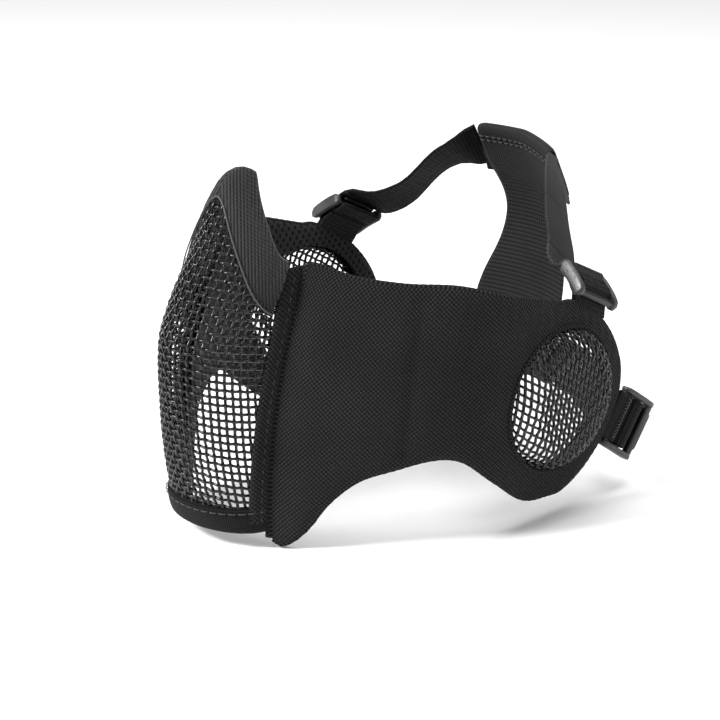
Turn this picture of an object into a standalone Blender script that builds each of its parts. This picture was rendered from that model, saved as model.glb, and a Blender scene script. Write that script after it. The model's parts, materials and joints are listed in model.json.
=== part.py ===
"""Lower-face field mask: formed woven-wire front, padded cheek wings with ear domes, head harness.

Metres, +Z up. The mask faces -Y and the wearer's left is +X. Everything is designed about the
centre between the two ear domes, and the whole mask then stands on the floor, centred on its box.
"""
from math import atan2, cos, hypot, pi, radians, sin, sqrt

import bmesh
import bpy
from mathutils import Matrix, Vector

# ---- driving dimensions -------------------------------------------------------------------------
GAP = 0.0003                 # clearance between neighbouring pieces

SEAM_X = 0.026               # half width of the wire front at its side seams
SEAM_TOP_Y, SEAM_TOP_Z = -0.086, 0.0605
SEAM_LOW_Y, SEAM_LOW_Z = -0.108, -0.0435
SEAM_BOW = 0.006             # how far the seam bows forward at mid height
SEAM_GAP = 0.0022            # from the seam to the wing's front edge, so that it can fold

MESH_T = 0.0018              # wire cloth, over its crossings
MESH_LOW_Z = -0.0395         # lower edge of the wire cloth
MESH_SIDE_Z = 0.0435         # its upper edge at the seams ...
MESH_NOSE_Z = 0.0865         # ... and over the nose

EAR_X = 0.077                # wing face at the ear centre
EAR_YAW = -0.08              # the wings close in towards the rear by this slope
EAR_LEAN = 0.06              # and lean outwards towards the top by this one
EAR_HOLE_R = 0.0292
EAR_FLANGE_R = 0.0310
DOME_AHEAD, DOME_UP = 0.0050, 0.0015   # the dome sits this far ahead of and above the lobe's centre
EAR_SIDES = 36                # facets round the ear hole and dome
DOME_H = 0.0070
DOME_FLAT_R = 0.0195
DOME_T = 0.0018
LOBE_BACK = 0.0345           # the ear lobe of the wing reaches this far behind the ear centre
LOBE_HALF = 0.0400           # and this far above and below it

PAD_T = 0.0080               # padded wing, overall
COVER_T = 0.0010
LINING_T = 0.0012
FOAM_GAP = 0.0007            # room round the foam
EDGE_T = 0.0026              # where cover and lining meet at the wing's edge
PAD_ROUND = 0.012            # the padding swells over this distance from the edge

WEB_W, WEB_T = 0.020, 0.0014         # elastic webbing
BUCKLE_W = 0.0262                    # ladder-lock buckle, along its bars
BAR_T = 0.0030
BAR_STEP = 0.0080                    # from one cross bar to the next
BUCKLE_LEAN = radians(37)            # the upper buckles lean in from their tabs, with the strap

PANEL_HALF_TOP, PANEL_HALF_WAIST, PANEL_HALF_LOW = 0.0215, 0.0165, 0.0225
PANEL_T = 0.0014
SLEEVE_GAP = 0.0005          # between a strap and the sleeve that it runs through

# ---- colours: linear red, green, blue, then roughness and metallic -----------------------------
FINISHES = {
    "wire_coating": ((0.020, 0.020, 0.021), 0.35, 0.6),
    "cover_nylon": ((0.022, 0.022, 0.023), 0.85, 0.0),
    "ribbed_knit": ((0.018, 0.018, 0.019), 0.90, 0.0),
    "spacer_lining": ((0.008, 0.008, 0.008), 0.95, 0.0),
    "pad_foam": ((0.030, 0.030, 0.030), 0.95, 0.0),
    "webbing": ((0.020, 0.020, 0.020), 0.85, 0.0),
    "buckle_plastic": ((0.035, 0.035, 0.036), 0.45, 0.0),
}


# ---- small helpers ------------------------------------------------------------------------------
def clear_scene():
    for old in list(bpy.data.objects):
        bpy.data.objects.remove(old, do_unlink=True)


def material(name):
    mat = bpy.data.materials.get(name)
    if mat:
        return mat
    colour, roughness, metallic = FINISHES[name]
    mat = bpy.data.materials.new(name)
    mat.use_nodes = True
    shader = mat.node_tree.nodes["Principled BSDF"]
    shader.inputs["Base Color"].default_value = (*colour, 1.0)
    shader.inputs["Roughness"].default_value = roughness
    shader.inputs["Metallic"].default_value = metallic
    return mat


def lerp(a, b, t):
    return a + (b - a) * t


def smooth(t):
    t = min(1.0, max(0.0, t))
    return t * t * (3.0 - 2.0 * t)


def spline(keys, x):
    """Height at x of a smooth curve through (x, height) keys, held level beyond both ends."""
    if x <= keys[0][0]:
        return keys[0][1]
    if x >= keys[-1][0]:
        return keys[-1][1]
    i = max(k for k in range(len(keys) - 1) if keys[k][0] <= x)
    (x1, h1), (x2, h2) = keys[i], keys[i + 1]
    x0, h0 = keys[i - 1] if i else (x1, h1)
    x3, h3 = keys[i + 2] if i + 2 < len(keys) else (x2, h2)
    slope1 = (h2 - h0) / (x2 - x0)
    slope2 = (h3 - h1) / (x3 - x1)
    t = (x - x1) / (x2 - x1)
    span = x2 - x1
    return ((2 * t**3 - 3 * t**2 + 1) * h1 + (t**3 - 2 * t**2 + t) * span * slope1
            + (3 * t**2 - 2 * t**3) * h2 + (t**3 - t**2) * span * slope2)


def through(points, steps):
    """Points along a smooth path through the given 3-D points, `steps` for each stretch."""
    pts = [Vector(p) for p in points]
    keyed = [[(i, p[axis]) for i, p in enumerate(pts)] for axis in range(3)]
    count = (len(pts) - 1) * steps
    return [Vector([spline(keyed[axis], i / steps) for axis in range(3)])
            for i in range(count + 1)]


def new_object(name, bm, finish, origin=(0, 0, 0), parent=None):
    """One closed body from bm, with its origin at `origin` and its faces outward."""
    bmesh.ops.remove_doubles(bm, verts=bm.verts, dist=1e-6)
    bmesh.ops.dissolve_degenerate(bm, edges=bm.edges, dist=1e-6)
    bmesh.ops.recalc_face_normals(bm, faces=bm.faces)
    bmesh.ops.translate(bm, verts=bm.verts, vec=-Vector(origin))
    mesh = bpy.data.meshes.new(name)
    bm.to_mesh(mesh)
    bm.free()
    mesh.shade_smooth()
    mesh.set_sharp_from_angle(angle=radians(35))
    mesh.materials.append(material(finish))
    obj = bpy.data.objects.new(name, mesh)
    bpy.context.scene.collection.objects.link(obj)
    obj.parent = parent
    obj.location = Vector(origin) - (world_spot(parent) if parent else Vector())
    return obj


def world_spot(obj):
    """Where an unrotated object sits, from its own and its parents' locations."""
    spot = Vector()
    while obj:
        spot += obj.location
        obj = obj.parent
    return spot


def pivot_empty(name, spot=(0, 0, 0), parent=None):
    """A marker that a group of pieces hangs on; for a moving group it stands on the joint's axis."""
    empty = bpy.data.objects.new(name, None)
    empty.empty_display_size = 0.01
    bpy.context.scene.collection.objects.link(empty)
    empty.parent = parent
    empty.location = Vector(spot) - world_spot(parent)
    return empty


def loft(rings):
    """A closed body through rings of equally many points, capped at both ends."""
    bm = bmesh.new()
    loops = [[bm.verts.new(p) for p in ring] for ring in rings]
    count = len(loops[0])
    for one, two in zip(loops, loops[1:]):
        for i in range(count):
            j = (i + 1) % count
            bm.faces.new((one[i], one[j], two[j], two[i]))
    bm.faces.new(loops[0])
    bm.faces.new(list(reversed(loops[-1])))
    bmesh.ops.triangulate(bm, faces=[f for f in bm.faces if len(f.verts) > 4])
    return bm


def slab(outer, inner):
    """A closed body between two grids of points that have the same rows and columns."""
    bm = bmesh.new()
    rows, cols = len(outer), len(outer[0])
    top = [[bm.verts.new(p) for p in row] for row in outer]
    low = [[bm.verts.new(p) for p in row] for row in inner]
    for r in range(rows - 1):
        for c in range(cols - 1):
            bm.faces.new((top[r][c], top[r][c + 1], top[r + 1][c + 1], top[r + 1][c]))
            bm.faces.new((low[r + 1][c], low[r + 1][c + 1], low[r][c + 1], low[r][c]))
    rim = ([(0, c) for c in range(cols)] + [(r, cols - 1) for r in range(1, rows)]
           + [(rows - 1, c) for c in range(cols - 2, -1, -1)] + [(r, 0) for r in range(rows - 2, 0, -1)])
    for (r1, c1), (r2, c2) in zip(rim, rim[1:] + rim[:1]):
        bm.faces.new((top[r1][c1], low[r1][c1], low[r2][c2], top[r2][c2]))
    return bm


def cut(obj, tool_bm):
    """Take the closed body tool_bm away from obj for good."""
    mesh = bpy.data.meshes.new("cutter")
    bmesh.ops.recalc_face_normals(tool_bm, faces=tool_bm.faces)
    tool_bm.to_mesh(mesh)
    tool_bm.free()
    tool = bpy.data.objects.new("cutter", mesh)
    bpy.context.scene.collection.objects.link(tool)
    mod = obj.modifiers.new("cut", "BOOLEAN")
    mod.operation = "DIFFERENCE"
    mod.solver = "EXACT"
    mod.object = tool
    bpy.context.view_layer.update()
    graph = bpy.context.evaluated_depsgraph_get()
    result = bpy.data.meshes.new_from_object(obj.evaluated_get(graph))
    obj.modifiers.clear()
    obj.data = result
    bpy.data.objects.remove(tool, do_unlink=True)


def mirrored(obj, name, parent):
    """The wearer's-right twin of a left piece."""
    spot = world_spot(obj)
    bm = bmesh.new()
    bm.from_mesh(obj.data)
    bmesh.ops.transform(bm, matrix=Matrix.Scale(-1, 4, (1, 0, 0)), verts=bm.verts)
    bmesh.ops.translate(bm, verts=bm.verts, vec=(-spot.x, spot.y, spot.z))
    bmesh.ops.reverse_faces(bm, faces=bm.faces)
    finish = obj.data.materials[0].name
    return new_object(name, bm, finish, (-spot.x, spot.y, spot.z), parent)


# ---- the wire front -----------------------------------------------------------------------------
RIDGE = [(-0.041, -0.1245), (-0.020, -0.1295), (0.000, -0.132), (0.030, -0.1325),
         (0.045, -0.1265), (0.060, -0.1185), (0.075, -0.1115), (0.088, -0.1045)]
HALF_WIDTH = [(0.045, SEAM_X), (0.060, 0.0235), (0.075, 0.019), (0.090, 0.0145)]


def seam_y(z):
    t = (z - SEAM_LOW_Z) / (SEAM_TOP_Z - SEAM_LOW_Z)
    return lerp(SEAM_LOW_Y, SEAM_TOP_Y, t) - SEAM_BOW * 4 * t * (1 - t)


def front_point(phi, z, offset=0.0):
    """On the wire front at angle phi round from straight ahead, moved out by offset."""
    half = spline(HALF_WIDTH, z)
    deep = seam_y(z) - spline(RIDGE, z)
    normal = Vector((deep * sin(phi), -half * cos(phi), 0)).normalized()
    return Vector((half * sin(phi), seam_y(z) - deep * cos(phi), z)) + normal * offset


def front_top(phi):
    return MESH_SIDE_Z + (MESH_NOSE_Z - MESH_SIDE_Z) * max(0.0, cos(phi)) ** 2.5


def front_angles(count):
    return [lerp(-pi / 2, pi / 2, i / (count - 1)) for i in range(count)]


def front_normal(phi, z):
    step = 1e-4
    across = front_point(phi + step, z) - front_point(phi - step, z)
    up = front_point(phi, z + step) - front_point(phi, z - step)
    return across.cross(up).normalized()


def build_front_mesh(shell):
    rows, cols = 14, 23
    outer, inner = [], []
    for r in range(rows):
        outer.append([])
        inner.append([])
        for phi in front_angles(cols):
            z = lerp(MESH_LOW_Z, front_top(phi), r / (rows - 1))
            point, normal = front_point(phi, z), front_normal(phi, z)
            outer[-1].append(point)
            inner[-1].append(point - normal * MESH_T)
    new_object("front_mesh", slab(outer, inner), "wire_coating", (0, RIDGE[3][1], 0), shell)


def channel(lap, reach, slot, swell, wall, steps=4):
    """Section of a folded tape, as (along, out) pairs: it laps a sheet of thickness 2*slot."""
    along = [lerp(-lap, reach - wall, i / steps) for i in range(steps + 1)]

    def half(a):
        return slot + (swell - slot) * sin(pi * min(1.0, max(0.0, a / reach))) ** 0.7

    inside = [(a, half(a)) for a in along]
    outside = [(a, half(a) + wall) for a in along]
    fold = [(reach - wall + (wall + half(reach - wall)) * sin(k * pi / 4) * 0.8,
             (half(reach - wall) + wall) * cos(k * pi / 4)) for k in range(1, 4)]
    down = [(a, -o) for a, o in reversed(outside)]
    back = [(a, -i) for a, i in inside]
    front = list(reversed(inside))
    return outside + fold + down + back + front


NOSE_LAP, NOSE_REACH = 0.0030, 0.0165
SIDE_REACH = 0.0190          # the nose tape is wider towards the cheeks
NOSE_DROOP = radians(-52)    # its rear edge turns down by this over the nose ...
SIDE_DROOP = radians(-6)     # ... and hardly at all at the cheeks
CHIN_LAP, CHIN_REACH = 0.0075, 0.0030


def nose_frame(phi):
    """Edge of the wire cloth over the nose: point, direction onwards, and outward normal."""
    z = front_top(phi)
    normal = front_normal(phi, z)
    edge = front_point(phi, z) - normal * (MESH_T / 2)
    side = abs(sin(phi))
    ahead = Vector((0, 0.92 * cos(phi) + 0.26 * side, 0.36 * cos(phi) + 0.90 * side)).normalized()
    out = (normal - ahead * normal.dot(ahead)).normalized()
    up_mesh = (front_point(phi, z) - front_point(phi, z - 0.004)).normalized()
    return edge, up_mesh, ahead, out, normal


def nose_place(phi, along, out_by):
    """A point of the nose tape: on the cloth below its edge, and arching over the nose beyond it."""
    edge, up_mesh, ahead, out, normal = nose_frame(phi)
    if along <= 0:
        return edge + up_mesh * along + normal * out_by
    side = abs(sin(phi))
    first = atan2(up_mesh.dot(out), up_mesh.dot(ahead))
    bend = lerp(NOSE_DROOP, SIDE_DROOP, side) - first
    reach = lerp(NOSE_REACH, SIDE_REACH, side * side)
    angle = first + bend * along / NOSE_REACH
    arch = ahead * (sin(angle) - sin(first)) - out * (cos(angle) - cos(first))
    return edge + arch * (reach / bend) + (out * cos(angle) - ahead * sin(angle)) * out_by


NOSE_END = radians(72)


def build_nose_band(shell):
    section = channel(NOSE_LAP, NOSE_REACH, MESH_T / 2 + GAP, 0.0019, 0.0009)
    core = [(a, o) for a, o in oval(0.0012, NOSE_REACH - 0.0028, 0.0014)]
    stations = [lerp(-NOSE_END, NOSE_END, i / 24) for i in range(25)]
    tape = [[nose_place(phi, a, o) for a, o in section] for phi in stations]
    foam = [[nose_place(phi * 0.97, a, o) for a, o in core] for phi in stations]
    spot = nose_place(0, 0, 0)
    new_object("nose_binding", loft(tape), "ribbed_knit", spot, shell)
    new_object("nose_foam", loft(foam), "pad_foam", spot, shell)


def oval(start, end, half):
    """A long rounded section from start to end, as (along, out) pairs."""
    middle, reach = (start + end) / 2, (end - start) / 2
    points = []
    for k in range(10):
        a = 2 * pi * k / 10
        points.append((middle + reach * cos(a), half * (1 if sin(a) > 0 else -1) * abs(sin(a)) ** 0.6))
    return points


def build_chin_binding(shell):
    section = channel(CHIN_LAP, CHIN_REACH, MESH_T / 2 + GAP, MESH_T / 2 + GAP, 0.0010)
    rings = []
    for phi in front_angles(23):
        normal = front_normal(phi, MESH_LOW_Z)
        edge = front_point(phi, MESH_LOW_Z) - normal * (MESH_T / 2)
        up = (front_point(phi, MESH_LOW_Z + 0.004) - front_point(phi, MESH_LOW_Z)).normalized()
        rings.append([edge - up * a + normal * o for a, o in section])
    new_object("chin_binding", loft(rings), "cover_nylon", (0, RIDGE[0][1], MESH_LOW_Z), shell)


HEM_W, HEM_T = 0.0072, 0.0016
HEM_TOP_W = 0.0088           # the hem widens beside the end of the nose tape
HEM_TOP_Z = 0.0575


def hem_width(z):
    return lerp(HEM_W, HEM_TOP_W, smooth((z - 0.030) / 0.020))


def build_hem_strip(shell):
    """The stitched strip over the side edge of the wire cloth, from the chin tape past the nose tape."""
    low, high = MESH_LOW_Z + CHIN_LAP + 0.001, HEM_TOP_Z
    rings = []
    for i in range(14):
        z = lerp(low, high, i / 13)
        reach = hem_width(z) / (seam_y(z) - spline(RIDGE, z))
        ring = []
        for a, o in oval(0.0, 1.0, HEM_T / 2):
            phi = pi / 2 - reach * a
            ring.append(front_point(phi, z, GAP + HEM_T / 2 + o))
        rings.append(ring)
    spot = (SEAM_X, seam_y(0), 0)
    left = new_object("left_hem_strip", loft(rings), "cover_nylon", spot, shell)
    mirrored(left, "right_hem_strip", shell)


# ---- the cheek wings ----------------------------------------------------------------------------
WING_MID_Z = 0.010
EAR_FRONT_Y = -0.032
WING_TOP = [(0.000, 0.0605), (0.008, 0.0602), (0.024, 0.0575), (0.045, 0.0560),
            (0.068, 0.0550), (0.092, 0.0485), (0.121, 0.0400)]
WING_LOW = [(0.000, -0.0435), (0.006, -0.0475), (0.015, -0.0410), (0.023, -0.0300),
            (0.034, -0.0205), (0.047, -0.0160), (0.062, -0.0125), (0.073, -0.0145),
            (0.087, -0.0255), (0.104, -0.0375), (0.121, -0.0400)]
LOBE_TILT = 0.0042


def ear_plane_x(y):
    return EAR_X + EAR_YAW * y


def wing_plan():
    """Plan curve of a wing's face at mid height, as (arc length, x, y) from the seam to behind the ear."""
    start = Vector((SEAM_X, seam_y(WING_MID_Z)))
    end = Vector((ear_plane_x(EAR_FRONT_Y), EAR_FRONT_Y))
    pull1 = start + Vector((0.021, 0.011))
    pull2 = end - Vector((EAR_YAW, 1.0)) * 0.026
    steps = 120
    line = []
    for i in range(steps + 1):
        t = i / steps
        near, far = (1 - t)**3 * start + 3 * (1 - t)**2 * t * pull1, 3 * (1 - t) * t * t * pull2 + t**3 * end
        line.append(near + far)
    for i in range(1, 41):
        y = lerp(EAR_FRONT_Y, LOBE_BACK + 0.0105, i / 40)
        line.append(Vector((ear_plane_x(y), y)))
    table, length = [(0.0, line[0].x, line[0].y)], 0.0
    for a, b in zip(line, line[1:]):
        length += (b - a).length
        table.append((length, b.x, b.y))
    return table


PLAN = wing_plan()
FRONT_SPAN = max(s for s, _, y in PLAN if y <= EAR_FRONT_Y + 1e-9)
EAR_S = FRONT_SPAN + hypot(EAR_FRONT_Y, EAR_FRONT_Y * EAR_YAW)


def wing_face(s, z):
    """A point on the wing's mid-face at arc length s from the seam and height z."""
    i = min(len(PLAN) - 2, max(0, sum(1 for row in PLAN if row[0] <= s) - 1))
    (s1, x1, y1), (s2, x2, y2) = PLAN[i], PLAN[i + 1]
    t = (s - s1) / (s2 - s1)
    x, y = lerp(x1, x2, t), lerp(y1, y2, t)
    loose = max(0.0, 1 - s / FRONT_SPAN)
    lean = EAR_LEAN * z * smooth(s / FRONT_SPAN)
    return Vector((x + lean, y + (seam_y(z) - seam_y(WING_MID_Z)) * loose**1.5, z))


def wing_normal(s, z):
    step = 1e-3
    along = wing_face(s + step, z) - wing_face(s - step, z)
    up = wing_face(s, z + step) - wing_face(s, z - step)
    return along.cross(up).normalized()


def wing_limits(s, inset):
    """Lowest and highest z of the wing at arc length s, drawn in by inset."""
    if s <= EAR_S:
        return spline(WING_LOW, s) + inset, spline(WING_TOP, s) - inset
    reach = (s - EAR_S) / (LOBE_BACK - inset)
    turn = sqrt(max(0.0, 1 - reach * reach))
    drop = LOBE_TILT * 2 * reach * turn
    half = (LOBE_HALF - inset) * turn
    return -half + drop, half - drop


def wing_columns(inset, step=0.0072):
    start, end = SEAM_GAP + inset, EAR_S + LOBE_BACK - inset
    count = int((EAR_S - start) / step)
    flat = [lerp(start, EAR_S, i / count) for i in range(count)]
    lobe = [lerp(0, pi / 2, i / 8) for i in range(9)]
    return flat + [EAR_S + (end - EAR_S) * sin(a) for a in lobe]


OUTLINE = ([(s, wing_limits(s, 0)[1]) for s in wing_columns(0)]
           + [(s, wing_limits(s, 0)[0]) for s in reversed(wing_columns(0))])


def edge_distance(s, z):
    best = 1.0
    for (s1, z1), (s2, z2) in zip(OUTLINE, OUTLINE[1:] + OUTLINE[:1]):
        ds, dz = s2 - s1, z2 - z1
        size = ds * ds + dz * dz
        t = min(1.0, max(0.0, ((s - s1) * ds + (z - z1) * dz) / size)) if size > 1e-12 else 0.0
        best = min(best, hypot(s - s1 - ds * t, z - z1 - dz * t))
    return best


def swell(s, z):
    """0 at the wing's edge, 1 where the padding has its full thickness."""
    t = min(1.0, edge_distance(s, z) / PAD_ROUND)
    return sqrt(1 - (1 - t) ** 2)


def padded_half(s, z):
    """Half the padded thickness; the seam side stays thin, so that it folds there."""
    thin = smooth((s - 0.002) / 0.016)
    return lerp(EDGE_T / 2, PAD_T / 2, swell(s, z) * thin)


def wing_layer(name, finish, inset, outside, hinge, rows=12):
    """One layer of the wing. outside(half) gives its outer and inner offsets from the mid-face."""
    outer, inner = [], []
    for s in wing_columns(inset):
        low, high = wing_limits(s, inset)
        outer.append([])
        inner.append([])
        for r in range(rows + 1):
            z = lerp(low, high, (1 - cos(pi * r / rows)) / 2)
            face, normal = wing_face(s, z), wing_normal(s, z)
            out, back = outside(padded_half(s, z))
            outer[-1].append(face + normal * out)
            inner[-1].append(face + normal * back)
    left = new_object(f"left_{name}", slab(outer, inner), finish, world_spot(hinge), hinge)
    cut(left, ear_cylinder(EAR_HOLE_R))
    return left


EAR_NORMAL = wing_normal(EAR_S, 0.0)
EAR_CENTRE = wing_face(EAR_S - DOME_AHEAD, DOME_UP)


def ear_matrix():
    """Turns a shape made about +Z to stand on the wing's face at the ear."""
    turn = Vector((0, 0, 1)).rotation_difference(EAR_NORMAL).to_matrix().to_4x4()
    return Matrix.Translation(EAR_CENTRE) @ turn


def ear_cylinder(radius):
    bm = bmesh.new()
    bmesh.ops.create_cone(bm, cap_ends=True, segments=EAR_SIDES, radius1=radius, radius2=radius, depth=0.06)
    bmesh.ops.transform(bm, matrix=ear_matrix(), verts=bm.verts)
    return bm


def turned(profile, segments=EAR_SIDES, hole=False):
    """A body turned about +Z from (radius, height) pairs; a profile on the axis closes itself."""
    bm = bmesh.new()
    rings = []
    for radius, height in profile:
        if radius < 1e-6:
            rings.append([bm.verts.new((0, 0, height))] * segments)
            continue
        angles = [2 * pi * k / segments for k in range(segments)]
        rings.append([bm.verts.new((radius * cos(a), radius * sin(a), height)) for a in angles])
    pairs = list(zip(rings, rings[1:])) + ([(rings[-1], rings[0])] if hole else [])
    for one, two in pairs:
        for k in range(segments):
            j = (k + 1) % segments
            corners = []
            for vert in (one[k], one[j], two[j], two[k]):
                if vert not in corners:
                    corners.append(vert)
            bm.faces.new(corners)
    bmesh.ops.transform(bm, matrix=ear_matrix(), verts=bm.verts)
    return bm


def dome_profile():
    """Outside of the dome from its flat centre down the rounded wall and out along the flange."""
    wall = EAR_HOLE_R - 0.0007
    arc = [lerp(0, pi / 2, i / 4) for i in range(5)]
    crown = [(DOME_FLAT_R + (wall - DOME_FLAT_R) * sin(a),
              PAD_T / 2 + DOME_H - (DOME_H + 0.002) * (1 - cos(a))) for a in arc]
    return [(0.0, PAD_T / 2 + DOME_H)] + crown + [(wall, 0.0012), (EAR_FLANGE_R, 0.0012)]


def build_ear_dome(hinge):
    outside = dome_profile()
    inside = [(max(0.0, r - DOME_T * (0.9 if r > DOME_FLAT_R + 1e-6 else 0.0)), h - DOME_T)
              for r, h in outside[:-2]]
    inside += [(outside[-2][0] - DOME_T, outside[-2][1] - DOME_T), (EAR_FLANGE_R, outside[-1][1] - DOME_T)]
    dome = turned(outside + list(reversed(inside)))
    left = new_object("left_ear_dome", dome, "wire_coating", EAR_CENTRE, hinge)
    return left


def build_ear_ring(hinge):
    """The rolled fabric cord that lines the hole in the cover, round the dome's foot."""
    tube_r, ring_r = 0.0009, EAR_HOLE_R + 0.0016
    section = [2 * pi * k / 6 for k in range(6)]
    high = PAD_T / 2 + GAP + tube_r
    profile = [(ring_r + tube_r * cos(a), high + tube_r * sin(a)) for a in section]
    return new_object("left_ear_ring", turned(profile, hole=True), "cover_nylon", EAR_CENTRE, hinge)


def build_cheek_foam(hinge, rows=10, cols=16):
    """Foam between cover and lining, from near the seam to the front of the ear dome's flange."""
    inset, clear = 0.0065, EAR_FLANGE_R + 0.0012
    start, dome_s = SEAM_GAP + inset, EAR_S - DOME_AHEAD
    outer, inner = [], []
    for c in range(cols + 1):
        first = lerp(start, dome_s - clear * 0.7, c / cols)
        low, high = wing_limits(first, inset)
        outer.append([])
        inner.append([])
        for r in range(rows + 1):
            z = lerp(low, high, r / rows)
            near = sqrt(max(clear**2 - (z - DOME_UP)**2, (clear * 0.4)**2))
            s = lerp(start, dome_s - near, c / cols)
            face, normal, half = wing_face(s, z), wing_normal(s, z), padded_half(s, z)
            outer[-1].append(face + normal * (half - COVER_T - FOAM_GAP))
            inner[-1].append(face + normal * (LINING_T + FOAM_GAP - half))
    return new_object("left_cheek_foam", slab(outer, inner), "pad_foam", world_spot(hinge), hinge)


def build_wing(hinge):
    cover = wing_layer("cheek_cover", "cover_nylon", 0.0, lambda h: (h, h - COVER_T), hinge)
    foam = build_cheek_foam(hinge)
    lining = wing_layer("cheek_lining", "spacer_lining", 0.0008, lambda h: (LINING_T - h, -h), hinge)
    dome = build_ear_dome(hinge)
    ring = build_ear_ring(hinge)
    return cover, foam, lining, dome, ring


# ---- webbing, tabs and buckles ------------------------------------------------------------------
def ribbon(path, across, width, thick):
    """A flat strap of rounded section along path, its width lying along the vectors in across."""
    rings = []
    for i, point in enumerate(path):
        tangent = (path[min(i + 1, len(path) - 1)] - path[max(i - 1, 0)]).normalized()
        side = across[i] - tangent * across[i].dot(tangent)
        side.normalize()
        normal = tangent.cross(side)
        half, edge = width / 2, thick / 4
        corners = [(half - edge, thick / 2), (half, edge), (half, -edge), (half - edge, -thick / 2)]
        section = corners + [(-w, h) for w, h in reversed(corners)]
        rings.append([point + side * w + normal * h for w, h in section])
    return loft(rings)


def steady(vector, path):
    return [Vector(vector)] * len(path)


def on_ear_plane(vector):
    """The same direction turned into the plane of the wing at the ear."""
    return (vector - EAR_NORMAL * vector.dot(EAR_NORMAL)).normalized()


UP_BAR = on_ear_plane(Vector((0, 0.891, -0.454)))     # along the bars of the upper buckle
LOW_BAR = on_ear_plane(Vector((0, -0.57, -0.82)))     # and of the lower one
UP_ROOT = Vector((0.0785, 0.0115, 0.0310))            # where the upper tab leaves the padding
UP_PIVOT = Vector((0.0750, 0.0165, 0.0410))           # the bar that it is folded round
LOW_ROOT = Vector((0.0737, 0.0260, -0.0110))
LOW_PIVOT = Vector((0.0732, 0.0345, -0.0170))
UP_OUT = UP_BAR.cross((UP_PIVOT - UP_ROOT).cross(UP_BAR)).normalized()
LOW_OUT = LOW_BAR.cross((LOW_PIVOT - LOW_ROOT).cross(LOW_BAR)).normalized()
UP_PULL = Matrix.Rotation(-BUCKLE_LEAN, 3, UP_BAR) @ UP_OUT
LOOP_R = BAR_T / 2 + 0.0014                 # mid-line radius of a webbing loop round a bar
UP_TAB = (0.0070, 0.0009)                   # length of a tab up to its bar, half the gap at its root
LOW_TAB = (0.0036, 0.0023)


def loop_tab(pivot, out, bar, root_depth, root_half):
    """Webbing folded round a bar: out from the wing's edge, round the bar and back."""
    across = bar.cross(out)
    legs = [pivot - out * lerp(root_depth, 0.0, i / 4) for i in range(5)]
    pinch = [lerp(root_half, LOOP_R, smooth((i / 4 - 0.35) / 0.65)) for i in range(5)]
    going = [p + across * w for p, w in zip(legs, pinch)]
    bend = [pivot + (across * cos(a) + out * sin(a)) * LOOP_R for a in (pi * k / 6 for k in range(1, 6))]
    coming = [p - across * w for p, w in zip(reversed(legs), reversed(pinch))]
    return ribbon(going + bend + coming, steady(bar, going + bend + coming), WEB_W, WEB_T)


def buckle(pivot, bar, pull, pivot_bar):
    """Ladder-lock frame with three cross bars; the bar numbered pivot_bar lies on the pivot."""
    face = bar.cross(pull)
    columns = [-BUCKLE_W / 2, -WEB_W / 2 - 0.0006, WEB_W / 2 + 0.0006, BUCKLE_W / 2]
    levels = []
    for k in range(3):
        centre = (k - pivot_bar) * BAR_STEP
        levels += [centre - BAR_T / 2, centre + BAR_T / 2]
    bm = bmesh.new()
    grid = [[bm.verts.new(pivot + bar * a + pull * b - face * (BAR_T / 2)) for a in columns] for b in levels]
    cells = []
    for r in range(len(levels) - 1):
        for c in range(3):
            if r % 2 and c == 1:
                continue
            cells.append(bm.faces.new((grid[r][c], grid[r][c + 1], grid[r + 1][c + 1], grid[r + 1][c])))
    lifted = bmesh.ops.extrude_face_region(bm, geom=cells)
    moved = [v for v in lifted["geom"] if isinstance(v, bmesh.types.BMVert)]
    bmesh.ops.translate(bm, verts=moved, vec=face * BAR_T)
    bmesh.ops.recalc_face_normals(bm, faces=bm.faces)
    sharp = [e for e in bm.edges if e.is_manifold and e.calc_face_angle(0) > radians(60)]
    bmesh.ops.bevel(bm, geom=sharp, offset=0.0006, segments=2, profile=0.5, affect="EDGES")
    return bm


def build_tabs_and_buckles(hinge, right_hinge):
    upper_loop = loop_tab(UP_PIVOT, UP_OUT, UP_BAR, *UP_TAB)
    lower_loop = loop_tab(LOW_PIVOT, LOW_OUT, LOW_BAR, *LOW_TAB)
    upper = new_object("left_upper_tab", upper_loop, "webbing", UP_PIVOT, hinge)
    lower = new_object("left_lower_tab", lower_loop, "webbing", LOW_PIVOT, hinge)
    mirrored(upper, "right_upper_tab", right_hinge)
    mirrored(lower, "right_lower_tab", right_hinge)
    for level, pivot, bar, pull, held in (("upper", UP_PIVOT, UP_BAR, UP_PULL, 1),
                                          ("lower", LOW_PIVOT, LOW_BAR, LOW_OUT, 0)):
        left_pin = pivot_empty(f"left_{level}_buckle_pivot", pivot, hinge)
        right_pin = pivot_empty(f"right_{level}_buckle_pivot", (-pivot.x, pivot.y, pivot.z), right_hinge)
        frame = buckle(pivot, bar, pull, held)
        left = new_object(f"left_{level}_buckle", frame, "buckle_plastic", pivot, left_pin)
        mirrored(left, f"right_{level}_buckle", right_pin)


# ---- the harness --------------------------------------------------------------------------------
PANEL_CURL = 7.5             # the tape's edges curl forward by this times x squared
PANEL_LINE = [(0.0495, 0.0835), (0.0585, 0.0640), (0.0608, 0.0520), (0.0590, 0.0360),
              (0.0530, 0.0200), (0.0500, 0.0080), (0.0480, -0.0160)]
SLEEVE = WEB_W + 0.0016
TOP_DROOP = 0.0046           # the left end of the top sleeve hangs lower by this


def droop(x, z):
    """How far the top of the tape hangs down at lateral place x; it fades out below the sleeve."""
    return TOP_DROOP * max(0.0, x / PANEL_HALF_TOP) ** 1.3 * smooth((z - 0.044) / 0.015)


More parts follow.
